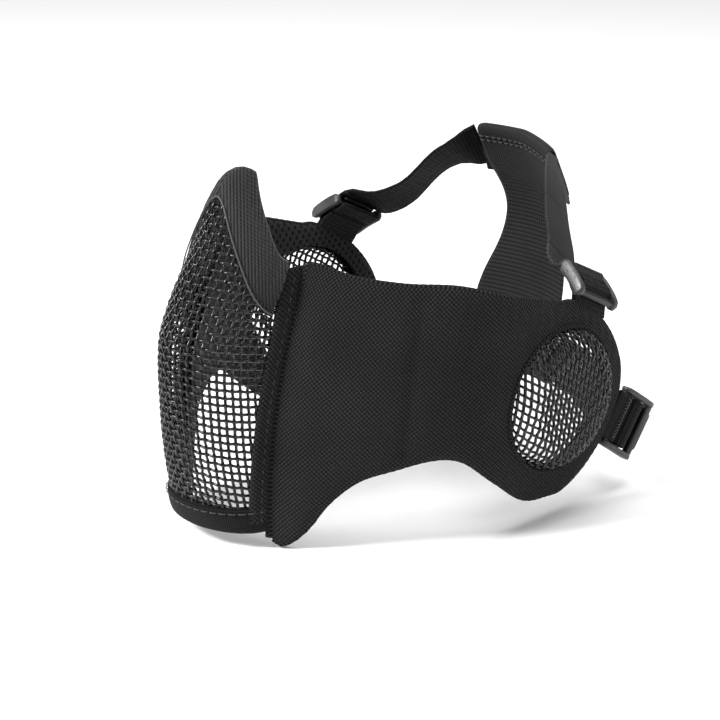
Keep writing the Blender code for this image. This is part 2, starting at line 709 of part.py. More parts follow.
def panel_half(z):
    return spline([(-0.016, PANEL_HALF_LOW), (0.015, PANEL_HALF_LOW), (0.048, PANEL_HALF_WAIST),
                   (0.070, PANEL_HALF_TOP), (0.085, PANEL_HALF_TOP)], z)


def hook(end, inward, turn):
    """Points of a sleeve: the tape's end folded back over the strap, from `end` along `inward`."""
    radius = WEB_T / 2 + PANEL_T / 2 + SLEEVE_GAP
    centre = end + turn * radius
    bend = [centre + (-turn * cos(a) - inward * sin(a)) * radius for a in (pi * k / 4 for k in range(5))]
    run = [bend[-1] + inward * SLEEVE * k / 2 for k in range(1, 3)]
    return bend, run


def panel_profile():
    """Side view (y, z) of the tape: a sleeve at the top, the curved body, a sleeve at the foot."""
    line = [Vector(p) for p in PANEL_LINE]
    keys_y = [(i, p.x) for i, p in enumerate(line)]
    keys_z = [(i, p.y) for i, p in enumerate(line)]
    bent = [lerp(1, len(line) - 2, i / 12) for i in range(13)]
    body = [line[0]] + [Vector((spline(keys_y, t), spline(keys_z, t))) for t in bent] + [line[-1]]
    down = (body[1] - body[0]).normalized()
    up = (body[-2] - body[-1]).normalized()
    rear_top, rear_low = Vector((-down.y, down.x)), Vector((up.y, -up.x))
    top_bend, top_run = hook(body[0], down, rear_top)
    low_bend, low_run = hook(body[-1], up, rear_low)
    return list(reversed(top_run)) + list(reversed(top_bend)) + body[1:-1] + low_bend + low_run


def build_back_panel(pivot):
    path = panel_profile()
    rings = []
    for i, point in enumerate(path):
        tangent = (path[min(i + 1, len(path) - 1)] - path[max(i - 1, 0)]).normalized()
        normal = Vector((0, -tangent.y, tangent.x))
        half = panel_half(point.y)
        ring = []
        for side in (1, -1):
            for k in range(5):
                x = side * lerp(half, -half, k / 4)
                hang = droop(x, point.y)
                place = Vector((x, point.x - PANEL_CURL * x * x, point.y - hang))
                ring.append(place + normal * side * (PANEL_T / 2))
        rings.append(ring)
    bm = loft(rings)
    return new_object("back_panel", bm, "webbing", world_spot(pivot), pivot)


UPPER_LEFT = [(0.0565, 0.0185, 0.0540), (0.0500, 0.0228, 0.0635), (0.0380, 0.0335, 0.0757)]
UPPER_RIGHT = [(-0.0590, 0.0240, 0.0490), (-0.0480, 0.0300, 0.0555), (-0.0370, 0.0400, 0.0695)]
LOWER_SIDE = [(0.0620, 0.0430, -0.0200), (0.0500, 0.0480, -0.0170), (0.0360, 0.0500, -0.0110)]
LAY_LEFT = Vector((-0.30, 0.90, -0.30))      # how each strap lies half way along
LAY_RIGHT = Vector((-0.50, 0.55, -0.66))
LAY_LOWER = Vector((0, -0.30, -0.95))


def strap_half(side, centre, bar, pull, keys, end, lay, end_across):
    """Path and width vectors of one strap half: its fold round a buckle bar, then on to `end`."""
    flip = Vector((side, 1, 1))
    centre, axis, away = centre * flip, (bar * flip).normalized(), (pull * flip).normalized()
    across = axis.cross(away) * side
    tail = [centre - across * LOOP_R + away * reach for reach in (0.012, 0.006)]
    bend = [centre + (-across * cos(a) - away * sin(a)) * LOOP_R for a in (pi * k / 6 for k in range(7))]
    run = through([bend[-1], bend[-1] + away * 0.006] + keys + [end], 4)[1:]
    path = tail + bend + run
    widths = []
    for i in range(len(path)):
        t = (i - len(path) + len(run)) / len(run)
        halfway = axis.lerp(lay, smooth(t / 0.45))
        widths.append(halfway.lerp(end_across, smooth((t - 0.5) / 0.45)).normalized())
    return path, widths


def sleeve_spot(top, x):
    """Centre line of the strap inside a sleeve of the back panel, at lateral place x."""
    line = PANEL_LINE if top else list(reversed(PANEL_LINE))
    first, second = Vector(line[0]), Vector(line[1])
    inward = (second - first).normalized()
    rear = Vector((-inward.y, inward.x)) if top else Vector((inward.y, -inward.x))
    spot = first + inward * (SLEEVE / 2 + 0.0005) + rear * (PANEL_T / 2 + WEB_T / 2 + SLEEVE_GAP)
    place = Vector((x, spot.x - PANEL_CURL * x * x, spot.y - droop(x, spot.y)))
    return place, Vector((0, inward.x, inward.y))


def build_strap(name, top, routes, lays, centre, bar, pull, parent):
    half = panel_half(sleeve_spot(top, 0)[0].z) + 0.002
    middle = [sleeve_spot(top, lerp(half, -half, i / 6))[0] for i in range(7)]
    across = sleeve_spot(top, 0)[1] * (1 if top else -1)
    left, left_across = strap_half(1, centre, bar, pull, routes[0], middle[0], lays[0], across)
    right, right_across = strap_half(-1, centre, bar, pull, routes[1], middle[-1], lays[1], across)
    path = left + middle[1:-1] + list(reversed(right))
    widths = left_across + steady(across, middle[1:-1]) + list(reversed(right_across))
    return new_object(name, ribbon(path, widths, WEB_W, WEB_T), "webbing", world_spot(parent), parent)


def build_harness(shell):
    top_spot = sleeve_spot(True, 0)[0]
    yoke = pivot_empty("harness_slide", top_spot, shell)
    panel = pivot_empty("back_panel_pivot", top_spot, yoke)
    build_strap("upper_strap", True, (keys(UPPER_LEFT), keys(UPPER_RIGHT)), (LAY_LEFT, LAY_RIGHT),
                UP_PIVOT + UP_PULL * BAR_STEP, UP_BAR, UP_PULL, yoke)
    build_back_panel(panel)
    build_strap("lower_strap", False, (keys(LOWER_SIDE), keys(LOWER_SIDE, -1)), (LAY_LOWER, LAY_LOWER),
                LOW_PIVOT + LOW_OUT * BAR_STEP, LOW_BAR, -EAR_NORMAL, panel)


def keys(points, side=1):
    return [Vector((side * x, y, z)) for x, y, z in points]


# ---- assembly -----------------------------------------------------------------------------------
def centre_on_floor(root):
    """Move the whole mask so that its box stands on z = 0, centred on x = y = 0."""
    bpy.context.view_layer.update()
    pieces = [obj for obj in bpy.data.objects if obj.type == "MESH"]
    corners = [obj.matrix_world @ v.co for obj in pieces for v in obj.data.vertices]
    low = Vector([min(p[axis] for p in corners) for axis in range(3)])
    high = Vector([max(p[axis] for p in corners) for axis in range(3)])
    root.location = (-(low.x + high.x) / 2, -(low.y + high.y) / 2, -low.z)
    bpy.context.view_layer.update()


def main():
    clear_scene()
    shell = pivot_empty("mask_origin")
    build_front_mesh(shell)
    build_nose_band(shell)
    build_chin_binding(shell)
    build_hem_strip(shell)
    crease = ((SEAM_LOW_Y + SEAM_TOP_Y) / 2 - SEAM_BOW * 2 / 3, (SEAM_LOW_Z + SEAM_TOP_Z) / 2)
    left_hinge = pivot_empty("left_wing_hinge", (SEAM_X, *crease), shell)
    right_hinge = pivot_empty("right_wing_hinge", (-SEAM_X, *crease), shell)
    for piece in build_wing(left_hinge):
        mirrored(piece, piece.name.replace("left", "right"), right_hinge)
    build_tabs_and_buckles(left_hinge, right_hinge)
    build_harness(shell)
    centre_on_floor(shell)


main()
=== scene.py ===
"""Looks of the lower-face field mask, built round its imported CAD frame. Metres, +Z up.

Everything is designed about the centre between the two ear domes, as in the CAD, and then moved
to the place that the record's joints give. The mask faces -Y and the wearer's left is +X.
"""
import json
from math import atan2, copysign, cos, floor, hypot, pi, radians, sin, sqrt

import bmesh
import bpy
from mathutils import Matrix, Vector, noise


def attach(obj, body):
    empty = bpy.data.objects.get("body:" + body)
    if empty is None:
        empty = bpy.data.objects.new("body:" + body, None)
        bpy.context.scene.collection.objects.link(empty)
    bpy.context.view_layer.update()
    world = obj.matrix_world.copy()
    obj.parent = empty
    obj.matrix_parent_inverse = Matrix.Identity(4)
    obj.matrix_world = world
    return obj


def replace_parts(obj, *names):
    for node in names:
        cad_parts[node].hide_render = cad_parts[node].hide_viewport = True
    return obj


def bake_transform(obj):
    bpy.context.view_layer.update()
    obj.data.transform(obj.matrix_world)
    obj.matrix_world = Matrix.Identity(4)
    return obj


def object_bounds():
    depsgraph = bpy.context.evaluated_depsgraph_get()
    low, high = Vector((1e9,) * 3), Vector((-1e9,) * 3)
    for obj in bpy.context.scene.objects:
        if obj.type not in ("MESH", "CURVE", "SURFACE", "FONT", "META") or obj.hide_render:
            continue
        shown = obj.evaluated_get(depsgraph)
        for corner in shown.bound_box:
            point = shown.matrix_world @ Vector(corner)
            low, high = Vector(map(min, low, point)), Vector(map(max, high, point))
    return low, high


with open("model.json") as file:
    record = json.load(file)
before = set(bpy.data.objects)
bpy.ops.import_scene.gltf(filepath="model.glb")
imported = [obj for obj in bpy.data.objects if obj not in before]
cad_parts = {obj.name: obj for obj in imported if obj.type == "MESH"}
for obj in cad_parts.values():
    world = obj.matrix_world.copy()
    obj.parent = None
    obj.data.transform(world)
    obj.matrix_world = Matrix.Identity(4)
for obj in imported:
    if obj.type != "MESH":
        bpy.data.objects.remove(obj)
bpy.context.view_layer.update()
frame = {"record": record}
JOINTS = {joint["name"]: joint for joint in frame["record"]["behaviour"]["joints"]}

# ---- driving dimensions, as in the CAD ----------------------------------------------------------
SEAM_X = 0.026
SEAM_TOP_Y, SEAM_TOP_Z = -0.086, 0.0605
SEAM_LOW_Y, SEAM_LOW_Z = -0.108, -0.0435
SEAM_BOW = 0.006
SEAM_GAP = 0.0022
MESH_T = 0.0018
MESH_LOW_Z, MESH_SIDE_Z, MESH_NOSE_Z = -0.0395, 0.0435, 0.0865
EAR_X, EAR_YAW, EAR_LEAN = 0.077, -0.08, 0.06
EAR_HOLE_R, DOME_AHEAD, DOME_UP = 0.0292, 0.0050, 0.0015
DOME_H, DOME_FLAT_R = 0.0070, 0.0195
LOBE_BACK, LOBE_HALF, LOBE_TILT = 0.0345, 0.0400, 0.0042
PAD_T, EDGE_T, PAD_ROUND = 0.0080, 0.0026, 0.012
WEB_W, WEB_T = 0.020, 0.0014
BUCKLE_W, BAR_T, BAR_STEP = 0.0262, 0.0030, 0.0080
BUCKLE_LEAN = radians(37)
PANEL_T, SLEEVE_GAP = 0.0014, 0.0005
PANEL_HALF_TOP, PANEL_HALF_WAIST, PANEL_HALF_LOW = 0.0215, 0.0165, 0.0225
UP_PIVOT = Vector((0.0750, 0.0165, 0.0410))
LOW_PIVOT = Vector((0.0732, 0.0345, -0.0170))
HOME = Vector(JOINTS["left_upper_buckle_tilt"]["pos_m"]) - UP_PIVOT

# ---- sizes of the fine detail -------------------------------------------------------------------
WIRE_PITCH, WIRE_R, WIRE_WAVE, WIRE_SWELL = 0.0030, 0.00056, 0.00040, 0.16
ROW_SLOPE = 0.14                     # rows of the wire cloth fall away from the ridge by this slope
DOME_PITCH, DOME_WAVE, DOME_SWELL = 0.00275, 0.00036, 0.14
DOME_WARP_R, DOME_WEFT_R = 0.00060, 0.00050
DOME_ROW, DOME_COLUMN = radians(-31), radians(82)   # how the dome's rows and columns of wire run
RIB_PITCH, RIB_HEIGHT = 0.00125, 0.00018
THREAD_R = 0.00022
SIDES = (("left", False), ("right", True))     # name, and whether the shape is mirrored


# ---- small helpers ------------------------------------------------------------------------------
def lerp(a, b, t):
    return a + (b - a) * t


def smooth(t):
    t = min(1.0, max(0.0, t))
    return t * t * (3.0 - 2.0 * t)


def spline(keys, x):
    """Height at x of a smooth curve through (x, height) keys, held level beyond both ends."""
    if x <= keys[0][0]:
        return keys[0][1]
    if x >= keys[-1][0]:
        return keys[-1][1]
    i = max(k for k in range(len(keys) - 1) if keys[k][0] <= x)
    (x1, h1), (x2, h2) = keys[i], keys[i + 1]
    x0, h0 = keys[i - 1] if i else (x1, h1)
    x3, h3 = keys[i + 2] if i + 2 < len(keys) else (x2, h2)
    slope1 = (h2 - h0) / (x2 - x0)
    slope2 = (h3 - h1) / (x3 - x1)
    t = (x - x1) / (x2 - x1)
    span = x2 - x1
    return ((2 * t**3 - 3 * t**2 + 1) * h1 + (t**3 - 2 * t**2 + t) * span * slope1
            + (3 * t**2 - 2 * t**3) * h2 + (t**3 - t**2) * span * slope2)


def through(points, steps):
    """Points along a smooth path through the given 3-D points, `steps` for each stretch."""
    keyed = [[(i, p[axis]) for i, p in enumerate(points)] for axis in range(3)]
    count = (len(points) - 1) * steps
    return [Vector([spline(keyed[axis], i / steps) for axis in range(3)]) for i in range(count + 1)]


def flipped(p):
    return Vector((-p.x, p.y, p.z))


def circle(count):
    """Equally spaced angles of a full turn."""
    return [2 * pi * k / count for k in range(count)]


def squarish(value, power):
    """A sine or cosine bent towards a rectangle's section, with its sign kept."""
    return copysign(abs(value) ** power, value)


def rim_indices(rows, cols):
    """Places (row, column) round the edge of a grid."""
    rim = [(0, c) for c in range(cols)] + [(r, cols - 1) for r in range(1, rows)]
    rim += [(rows - 1, c) for c in range(cols - 2, -1, -1)]
    return rim + [(r, 0) for r in range(rows - 2, 0, -1)]


def new_object(name, data):
    obj = bpy.data.objects.new(name, data)
    bpy.context.scene.collection.objects.link(obj)
    return obj


def face_outwards(mesh):
    bm = bmesh.new()
    bm.from_mesh(mesh)
    bmesh.ops.recalc_face_normals(bm, faces=bm.faces)
    bm.to_mesh(mesh)
    bm.free()


def runs(spots):
    """Splits a list with None gaps into its unbroken stretches."""
    stretch = []
    for spot in spots + [None]:
        if spot is None:
            if len(stretch) > 3:
                yield stretch
            stretch = []
        else:
            stretch.append(spot)


# ---- building pieces ----------------------------------------------------------------------------
class Shape:
    """Collects vertices, faces and cloth coordinates of one piece, in the design frame."""

    def __init__(self):
        self.verts, self.faces, self.uvs, self.slots = [], [], [], []

    def rings(self, rings, uvs=None, closed=False, slot=0):
        """Skin through rings of equally many points, with end caps unless it closes on itself."""
        start, count = len(self.verts), len(rings[0])
        for r, ring in enumerate(rings):
            self.verts.extend(ring)
            self.uvs.extend(uvs[r] if uvs else [(0.0, 0.0)] * count)
        total = len(rings)
        for r in range(total if closed else total - 1):
            one, two = start + r * count, start + (r + 1) % total * count
            for i in range(count):
                j = (i + 1) % count
                self.faces.append((one + i, one + j, two + j, two + i))
                self.slots.append(slot)
        if not closed:
            self.faces.append(tuple(range(start + count - 1, start - 1, -1)))
            self.faces.append(tuple(range(start + (total - 1) * count, start + total * count)))
            self.slots += [slot, slot]

    def sheet(self, grid, uvs, flip=False):
        """Open sheet over a grid of points."""
        start, cols = len(self.verts), len(grid[0])
        for row, uv in zip(grid, uvs):
            self.verts.extend(row)
            self.uvs.extend(uv)
        for r in range(len(grid) - 1):
            for c in range(cols - 1):
                a = start + r * cols + c
                face = (a, a + 1, a + cols + 1, a + cols)
                self.faces.append(tuple(reversed(face)) if flip else face)
                self.slots.append(0)

    def tube(self, path, normals, radius, sides=6):
        """Round wire or thread along path; radius is a number or one value for each point."""
        rings = []
        last = len(path) - 1
        for i, (point, normal) in enumerate(zip(path, normals)):
            tangent = path[min(i + 1, last)] - path[max(i - 1, 0)]
            side = tangent.cross(normal).normalized()
            up = side.cross(tangent).normalized()
            r = radius[i] if isinstance(radius, list) else radius
            rings.append([point + (side * cos(a) + up * sin(a)) * r for a in circle(sides)])
        self.rings(rings)

    def wires(self, spots):
        """A wire through each unbroken stretch of (point, normal, radius) spots."""
        for stretch in runs(spots):
            self.tube(*(list(values) for values in zip(*stretch)))

    def piece(self, name, finishes, body=None, mirror=False, fix_normals=True):
        finishes = [finishes] if isinstance(finishes, str) else finishes
        verts = [flipped(v) + HOME for v in self.verts] if mirror else [v + HOME for v in self.verts]
        faces = [tuple(reversed(f)) for f in self.faces] if mirror else self.faces
        mesh = bpy.data.meshes.new(name)
        mesh.from_pydata(verts, [], faces)
        layer = mesh.uv_layers.new(name="cloth")
        flat_uvs = []
        for face in faces:
            for index in face:
                flat_uvs.extend(self.uvs[index])
        layer.data.foreach_set("uv", flat_uvs)
        mesh.polygons.foreach_set("material_index", self.slots)
        if fix_normals:
            face_outwards(mesh)
        mesh.shade_smooth()
        for finish in finishes:
            mesh.materials.append(MATERIALS[finish])
        obj = new_object(name, mesh)
        if body:
            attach(obj, body)
        return obj


def stitches(shape, path, normals, length=0.0028, gap=0.0011, radius=THREAD_R, lift=0.0001):
    """Separate thread stitches along a path that lies on a surface."""
    marks, total = [0.0], 0.0
    for a, b in zip(path, path[1:]):
        total += (b - a).length
        marks.append(total)

    def at(distance):
        distance = min(max(distance, 0.0), total - 1e-9)
        i = max(k for k in range(len(marks) - 1) if marks[k] <= distance)
        t = (distance - marks[i]) / max(marks[i + 1] - marks[i], 1e-9)
        return path[i].lerp(path[i + 1], t), normals[i].lerp(normals[i + 1], t).normalized()

    count = int(total / (length + gap))
    for k in range(count):
        begin = k * (length + gap)
        spots = [at(begin + length * f) for f in (0.0, 0.12, 0.5, 0.88, 1.0)]
        heights = [-0.6 * radius, 0.5 * radius, radius, 0.5 * radius, -0.6 * radius]
        line = [p + n * (lift + h) for (p, n), h in zip(spots, heights)]
        shape.tube(line, [n for _, n in spots], radius, sides=6)


# ---- materials ----------------------------------------------------------------------------------
class Graph:
    """Short calls for a material's nodes. Every call gives a socket."""

    def __init__(self, name):
        self.material = bpy.data.materials.new(name)
        self.material.use_nodes = True
        self.tree = self.material.node_tree
        self.shader = self.tree.nodes["Principled BSDF"]

    def feed(self, socket, value):
        if isinstance(value, bpy.types.NodeSocket):
            self.tree.links.new(value, socket)
        else:
            socket.default_value = value

    def math(self, operation, a, b=0.0, clamp=False):
        node = self.tree.nodes.new("ShaderNodeMath")
        node.operation = operation
        node.use_clamp = clamp
        self.feed(node.inputs[0], a)
        self.feed(node.inputs[1], b)
        return node.outputs[0]

    def cloth(self):
        """Cloth coordinates in metres as two sockets."""
        node = self.tree.nodes.new("ShaderNodeUVMap")
        node.uv_map = "cloth"
        split = self.tree.nodes.new("ShaderNodeSeparateXYZ")
        self.tree.links.new(node.outputs[0], split.inputs[0])
        return split.outputs[0], split.outputs[1]

    def cloth_vector(self):
        node = self.tree.nodes.new("ShaderNodeUVMap")
        node.uv_map = "cloth"
        return node.outputs[0]

    def place(self):
        return self.tree.nodes.new("ShaderNodeTexCoord").outputs["Object"]

    def noise(self, scale, detail=3.0, vector=None, roughness=0.5):
        node = self.tree.nodes.new("ShaderNodeTexNoise")
        node.inputs["Scale"].default_value = scale
        node.inputs["Detail"].default_value = detail
        node.inputs["Roughness"].default_value = roughness
        self.tree.links.new(vector or self.place(), node.inputs["Vector"])
        return node.outputs["Fac"]

    def spread(self, value, low, high, out_low, out_high):
        node = self.tree.nodes.new("ShaderNodeMapRange")
        self.feed(node.inputs["Value"], value)
        ends = (("From Min", low), ("From Max", high), ("To Min", out_low), ("To Max", out_high))
        for key, number in ends:
            node.inputs[key].default_value = number
        return node.outputs[0]

    def colours(self, fac, first, second):
        node = self.tree.nodes.new("ShaderNodeMix")
        node.data_type = "RGBA"
        self.feed(node.inputs[0], fac)
        self.feed(node.inputs[6], first if isinstance(first, bpy.types.NodeSocket) else (*first, 1.0))
        self.feed(node.inputs[7], second if isinstance(second, bpy.types.NodeSocket) else (*second, 1.0))
        return node.outputs[2]

    def bump(self, height, distance, strength=1.0):
        node = self.tree.nodes.new("ShaderNodeBump")
        node.inputs["Distance"].default_value = distance
        node.inputs["Strength"].default_value = strength
        self.tree.links.new(height, node.inputs["Height"])
        return node.outputs[0]

    def finish(self, **values):
        for key, value in values.items():
            self.feed(self.shader.inputs[key.replace("_", " ")], value)
        return self.material


def humps(graph, coordinate, pitch):
    """0 between threads and 1 on their crowns, for threads one pitch apart."""
    turned = graph.math("MULTIPLY", coordinate, pi / pitch)
    return graph.math("ABSOLUTE", graph.math("SINE", turned))


def bias_weave(graph, pitch, wobble=0.0):
    """Weave whose pits stand in staggered rows: the product of two families on the bias."""
    u, v = graph.cloth()
    if wobble:
        drift = graph.spread(graph.noise(60.0, 2.0, graph.cloth_vector()), 0.3, 0.7, -wobble, wobble)
        u = graph.math("ADD", u, drift)
    one = humps(graph, graph.math("ADD", u, v), pitch * sqrt(2))
    two = humps(graph, graph.math("SUBTRACT", u, v), pitch * sqrt(2))
    return graph.math("MULTIPLY", one, two)


def fibres(graph, scale=2600.0):
    return graph.noise(scale, 4.0, graph.cloth_vector(), 0.7)


def dust(graph):
    """Broad soft tone changes over a fabric."""
    return graph.spread(graph.noise(35.0, 4.0), 0.3, 0.7, 0.75, 1.2)


def scaled(graph, colour_socket, factor):
    node = graph.tree.nodes.new("ShaderNodeVectorMath")
    node.operation = "SCALE"
    graph.tree.links.new(colour_socket, node.inputs[0])
    graph.tree.links.new(factor, node.inputs["Scale"])
    return node.outputs[0]


def fabric(graph, pattern, dark, light, window=(0.15, 0.85), raised=None, fluff=0.3, lint=(0.7, 1.3),
           shine=0.2, sheen=(0.03, 0.4), depth=0.0004, strength=1.0):
    """Finish of a textile: dark between its threads and light on them, with fibres over all of it."""
    hair = fibres(graph)
    height = graph.math("ADD", raised or pattern, graph.math("MULTIPLY", hair, fluff))
    tone = graph.colours(graph.spread(pattern, *window, 0.0, 1.0), dark, light)
    tone = scaled(graph, tone, graph.math("MULTIPLY", dust(graph), graph.spread(hair, 0.3, 0.7, *lint)))
    return graph.finish(Base_Color=tone, Roughness=0.75, Specular_IOR_Level=shine, Sheen_Weight=sheen[0],
                        Sheen_Roughness=sheen[1], Normal=graph.bump(height, depth, strength))


def wire_coating():
    g = Graph("wire_coating")
    grain = g.noise(1800.0, 3.0)
    patches = g.noise(120.0, 3.0)
    mask = g.spread(patches, 0.35, 0.7, 0.0, 1.0)
    colour = g.colours(mask, (0.0016, 0.0016, 0.0017), (0.0045, 0.0045, 0.0048))
    rough = g.spread(patches, 0.3, 0.7, 0.24, 0.40)
    return g.finish(Base_Color=colour, Roughness=rough, Metallic=0.1, Specular_IOR_Level=0.35,
                    Coat_Weight=0.2, Coat_Roughness=0.16, Normal=g.bump(grain, 0.00006, 0.6))


def cover_nylon():
    g = Graph("cover_nylon")
    weave = g.math("POWER", bias_weave(g, 0.00125, 0.0003), 0.7)
    return fabric(g, weave, (0.0004, 0.0004, 0.0004), (0.0195, 0.0190, 0.0190), (0.15, 0.75),
                  lint=(0.7, 1.35), shine=0.11, depth=0.0007)


def plain_nylon():
    g = Graph("plain_nylon")
    u, v = g.cloth()
    weave = g.math("MULTIPLY", humps(g, u, 0.0008), humps(g, v, 0.0008))
    return fabric(g, weave, (0.0012, 0.0012, 0.0012), (0.0130, 0.0125, 0.0125), (0.1, 0.8),
                  fluff=0.4, lint=(0.75, 1.3), shine=0.12, strength=0.9)


def ribbed_knit():
    g = Graph("ribbed_knit")
    u, v = g.cloth()
    rib = humps(g, u, RIB_PITCH)
    loops = humps(g, g.math("ADD", v, g.math("MULTIPLY", u, 0.6)), 0.0013)
    raised = g.math("ADD", rib, g.math("MULTIPLY", loops, 0.35))
    light = g.math("MULTIPLY", rib, g.spread(loops, 0.0, 1.0, 0.55, 1.0))
    return fabric(g, light, (0.0015, 0.0015, 0.0015), (0.030, 0.029, 0.029), raised=raised,
                  sheen=(0.08, 0.45), depth=0.0006)


def spacer_lining():
    g = Graph("spacer_lining")
    u, v = g.cloth()
    across = g.math("MULTIPLY", u, 2 * pi / 0.0034)
    up = g.math("MULTIPLY", v, 2 * pi / 0.0044)
    waves = g.math("MULTIPLY", g.math("COSINE", across), g.math("COSINE", up))
    hole = g.spread(waves, 0.18, 0.50, 0.0, 1.0)
    hair = fibres(g, 1800.0)
    height = g.math("SUBTRACT", g.math("MULTIPLY", hair, 0.25), hole)
    tone = g.colours(hole, (0.019, 0.019, 0.020), (0.0010, 0.0010, 0.0010))
    tone = scaled(g, tone, g.spread(hair, 0.3, 0.7, 0.7, 1.3))
    return g.finish(Base_Color=tone, Roughness=0.85, Specular_IOR_Level=0.15, Sheen_Weight=0.03,
                    Normal=g.bump(height, 0.0008, 1.0))


def webbing(name, dark, light, ribs=0.0016, along=0.0011, slant=0.0, plain_until=0.0):
    """Elastic webbing: ribs across it and finer threads along it, the ribs from plain_until onwards."""
    g = Graph(name)
    u, v = g.cloth()
    cross = humps(g, g.math("ADD", u, g.math("MULTIPLY", v, slant)), ribs)
    if plain_until:
        faint = g.spread(u, plain_until - 0.005, plain_until + 0.005, 0.75, 0.0)
        cross = g.math("MAXIMUM", cross, faint)
    fine = humps(g, v, along)
    mixed = g.math("MULTIPLY", g.spread(cross, 0.0, 1.0, 0.25, 1.0), g.spread(fine, 0.0, 1.0, 0.45, 1.0))
    return fabric(g, mixed, dark, light, (0.15, 0.9), lint=(0.75, 1.3), shine=0.14)


def thread(name, colour):
    g = Graph(name)
    twist = g.noise(2500.0, 2.0)
    tone = g.colours(twist, tuple(c * 0.6 for c in colour), colour)
    return g.finish(Base_Color=tone, Roughness=0.6, Sheen_Weight=0.1, Normal=g.bump(twist, 0.0001, 0.6))


def buckle_plastic(name, dark, light, dots=False):
    """Moulded plastic, worn pale along its edges, and with fine moulded dots if asked for."""
    g = Graph(name)
    grain = g.noise(900.0, 4.0)
    wear = g.noise(70.0, 5.0)
    bevel = g.tree.nodes.new("ShaderNodeBevel")
    bevel.inputs["Radius"].default_value = 0.0004
    geometry = g.tree.nodes.new("ShaderNodeNewGeometry")
    dot = g.tree.nodes.new("ShaderNodeVectorMath")
    dot.operation = "DOT_PRODUCT"
    g.tree.links.new(bevel.outputs[0], dot.inputs[0])
    g.tree.links.new(geometry.outputs["Normal"], dot.inputs[1])
    edge = g.spread(dot.outputs["Value"], 0.90, 0.995, 1.0, 0.0)
    worn = g.math("MULTIPLY", edge, g.spread(wear, 0.4, 0.65, 0.2, 1.0), clamp=True)
    base = g.colours(g.spread(wear, 0.3, 0.7, 0.0, 1.0), dark, light)
    tone = g.colours(worn, base, (0.05, 0.05, 0.05))
    if dots:
        cells = g.tree.nodes.new("ShaderNodeTexVoronoi")
        cells.inputs["Scale"].default_value = 700.0
        g.tree.links.new(g.place(), cells.inputs["Vector"])
        grain = g.spread(cells.outputs["Distance"], 0.15, 0.35, 0.0, 1.0)
        tone = scaled(g, tone, g.spread(grain, 0.0, 1.0, 0.55, 1.0))
    rough = g.spread(wear, 0.3, 0.7, 0.34, 0.5)
    return g.finish(Base_Color=tone, Roughness=rough, Specular_IOR_Level=0.5,
                    Normal=g.bump(grain, 0.00012 if dots else 0.00008, 0.5))


MATERIALS = {
    "wire": wire_coating(),
    "nylon": cover_nylon(),
    "tape": plain_nylon(),
    "knit": ribbed_knit(),
    "lining": spacer_lining(),
    "webbing": webbing("webbing", (0.001, 0.001, 0.001), (0.0135, 0.0130, 0.0130)),
    "twill": webbing("webbing_twill", (0.012, 0.012, 0.012), (0.042, 0.041, 0.041), 0.0009, 0.0013, 0.9),
    "panel": webbing("webbing_panel", (0.0015, 0.0015, 0.0015), (0.023, 0.0225, 0.0225), 0.00175, 0.0012,
                     plain_until=0.052),
    "thread": thread("thread_black", (0.034, 0.034, 0.035)),
    "pale_thread": thread("thread_grey", (0.13, 0.125, 0.12)),
    "piping": thread("piping_black", (0.055, 0.054, 0.052)),
    "plastic": buckle_plastic("buckle_plastic", (0.003, 0.003, 0.0032), (0.0065, 0.0065, 0.007)),
    "flank": buckle_plastic("buckle_flank", (0.020, 0.020, 0.021), (0.042, 0.042, 0.043), True),
}


# ---- the wire front -----------------------------------------------------------------------------
RIDGE = [(-0.041, -0.1245), (-0.020, -0.1295), (0.000, -0.132), (0.030, -0.1325),
         (0.045, -0.1265), (0.060, -0.1185), (0.075, -0.1115), (0.088, -0.1045)]
HALF_WIDTH = [(0.045, SEAM_X), (0.060, 0.0235), (0.075, 0.019), (0.090, 0.0145)]


def seam_y(z):
    t = (z - SEAM_LOW_Z) / (SEAM_TOP_Z - SEAM_LOW_Z)
    return lerp(SEAM_LOW_Y, SEAM_TOP_Y, t) - SEAM_BOW * 4 * t * (1 - t)


def front_point(phi, z, offset=0.0):
    """On the wire front at angle phi round from straight ahead, moved out by offset."""
    half = spline(HALF_WIDTH, z)
    deep = seam_y(z) - spline(RIDGE, z)
    normal = Vector((deep * sin(phi), -half * cos(phi), 0)).normalized()
    return Vector((half * sin(phi), seam_y(z) - deep * cos(phi), z)) + normal * offset


def front_top(phi):
    return MESH_SIDE_Z + (MESH_NOSE_Z - MESH_SIDE_Z) * max(0.0, cos(phi)) ** 2.5


def front_normal(phi, z):
    step = 1e-4
    across = front_point(phi + step, z) - front_point(phi - step, z)
    up = front_point(phi, z + step) - front_point(phi, z - step)
    return across.cross(up).normalized()


ARC_STEPS, ARC_RISE = 48, 0.0015
ARC_TABLE = {}


def arc_table(level):
    """Distances round from the ridge at one height, for equal steps of the angle up to the seam."""
    if level not in ARC_TABLE:
        z = level * ARC_RISE
        points = [front_point(pi / 2 * k / ARC_STEPS, z) for k in range(ARC_STEPS + 1)]
        lengths = [0.0]
        for a, b in zip(points, points[1:]):
            lengths.append(lengths[-1] + (b - a).length)
        ARC_TABLE[level] = lengths
    return ARC_TABLE[level]


def angle_at(distance, z):
    """Angle on the front at a distance round from the ridge, or None beyond the seam."""
    level = floor(z / ARC_RISE)
    t = z / ARC_RISE - level
    found = []
    for lengths in (arc_table(level), arc_table(level + 1)):
        reach = abs(distance)
        if reach > lengths[-1]:
            return None
        k = min(int(reach / lengths[-1] * ARC_STEPS), ARC_STEPS - 1)
        while lengths[k] > reach:
            k -= 1
        while lengths[k + 1] < reach:
            k += 1
        found.append((k + (reach - lengths[k]) / (lengths[k + 1] - lengths[k])) * pi / 2 / ARC_STEPS)
    return lerp(found[0], found[1], t) * (1 if distance >= 0 else -1)


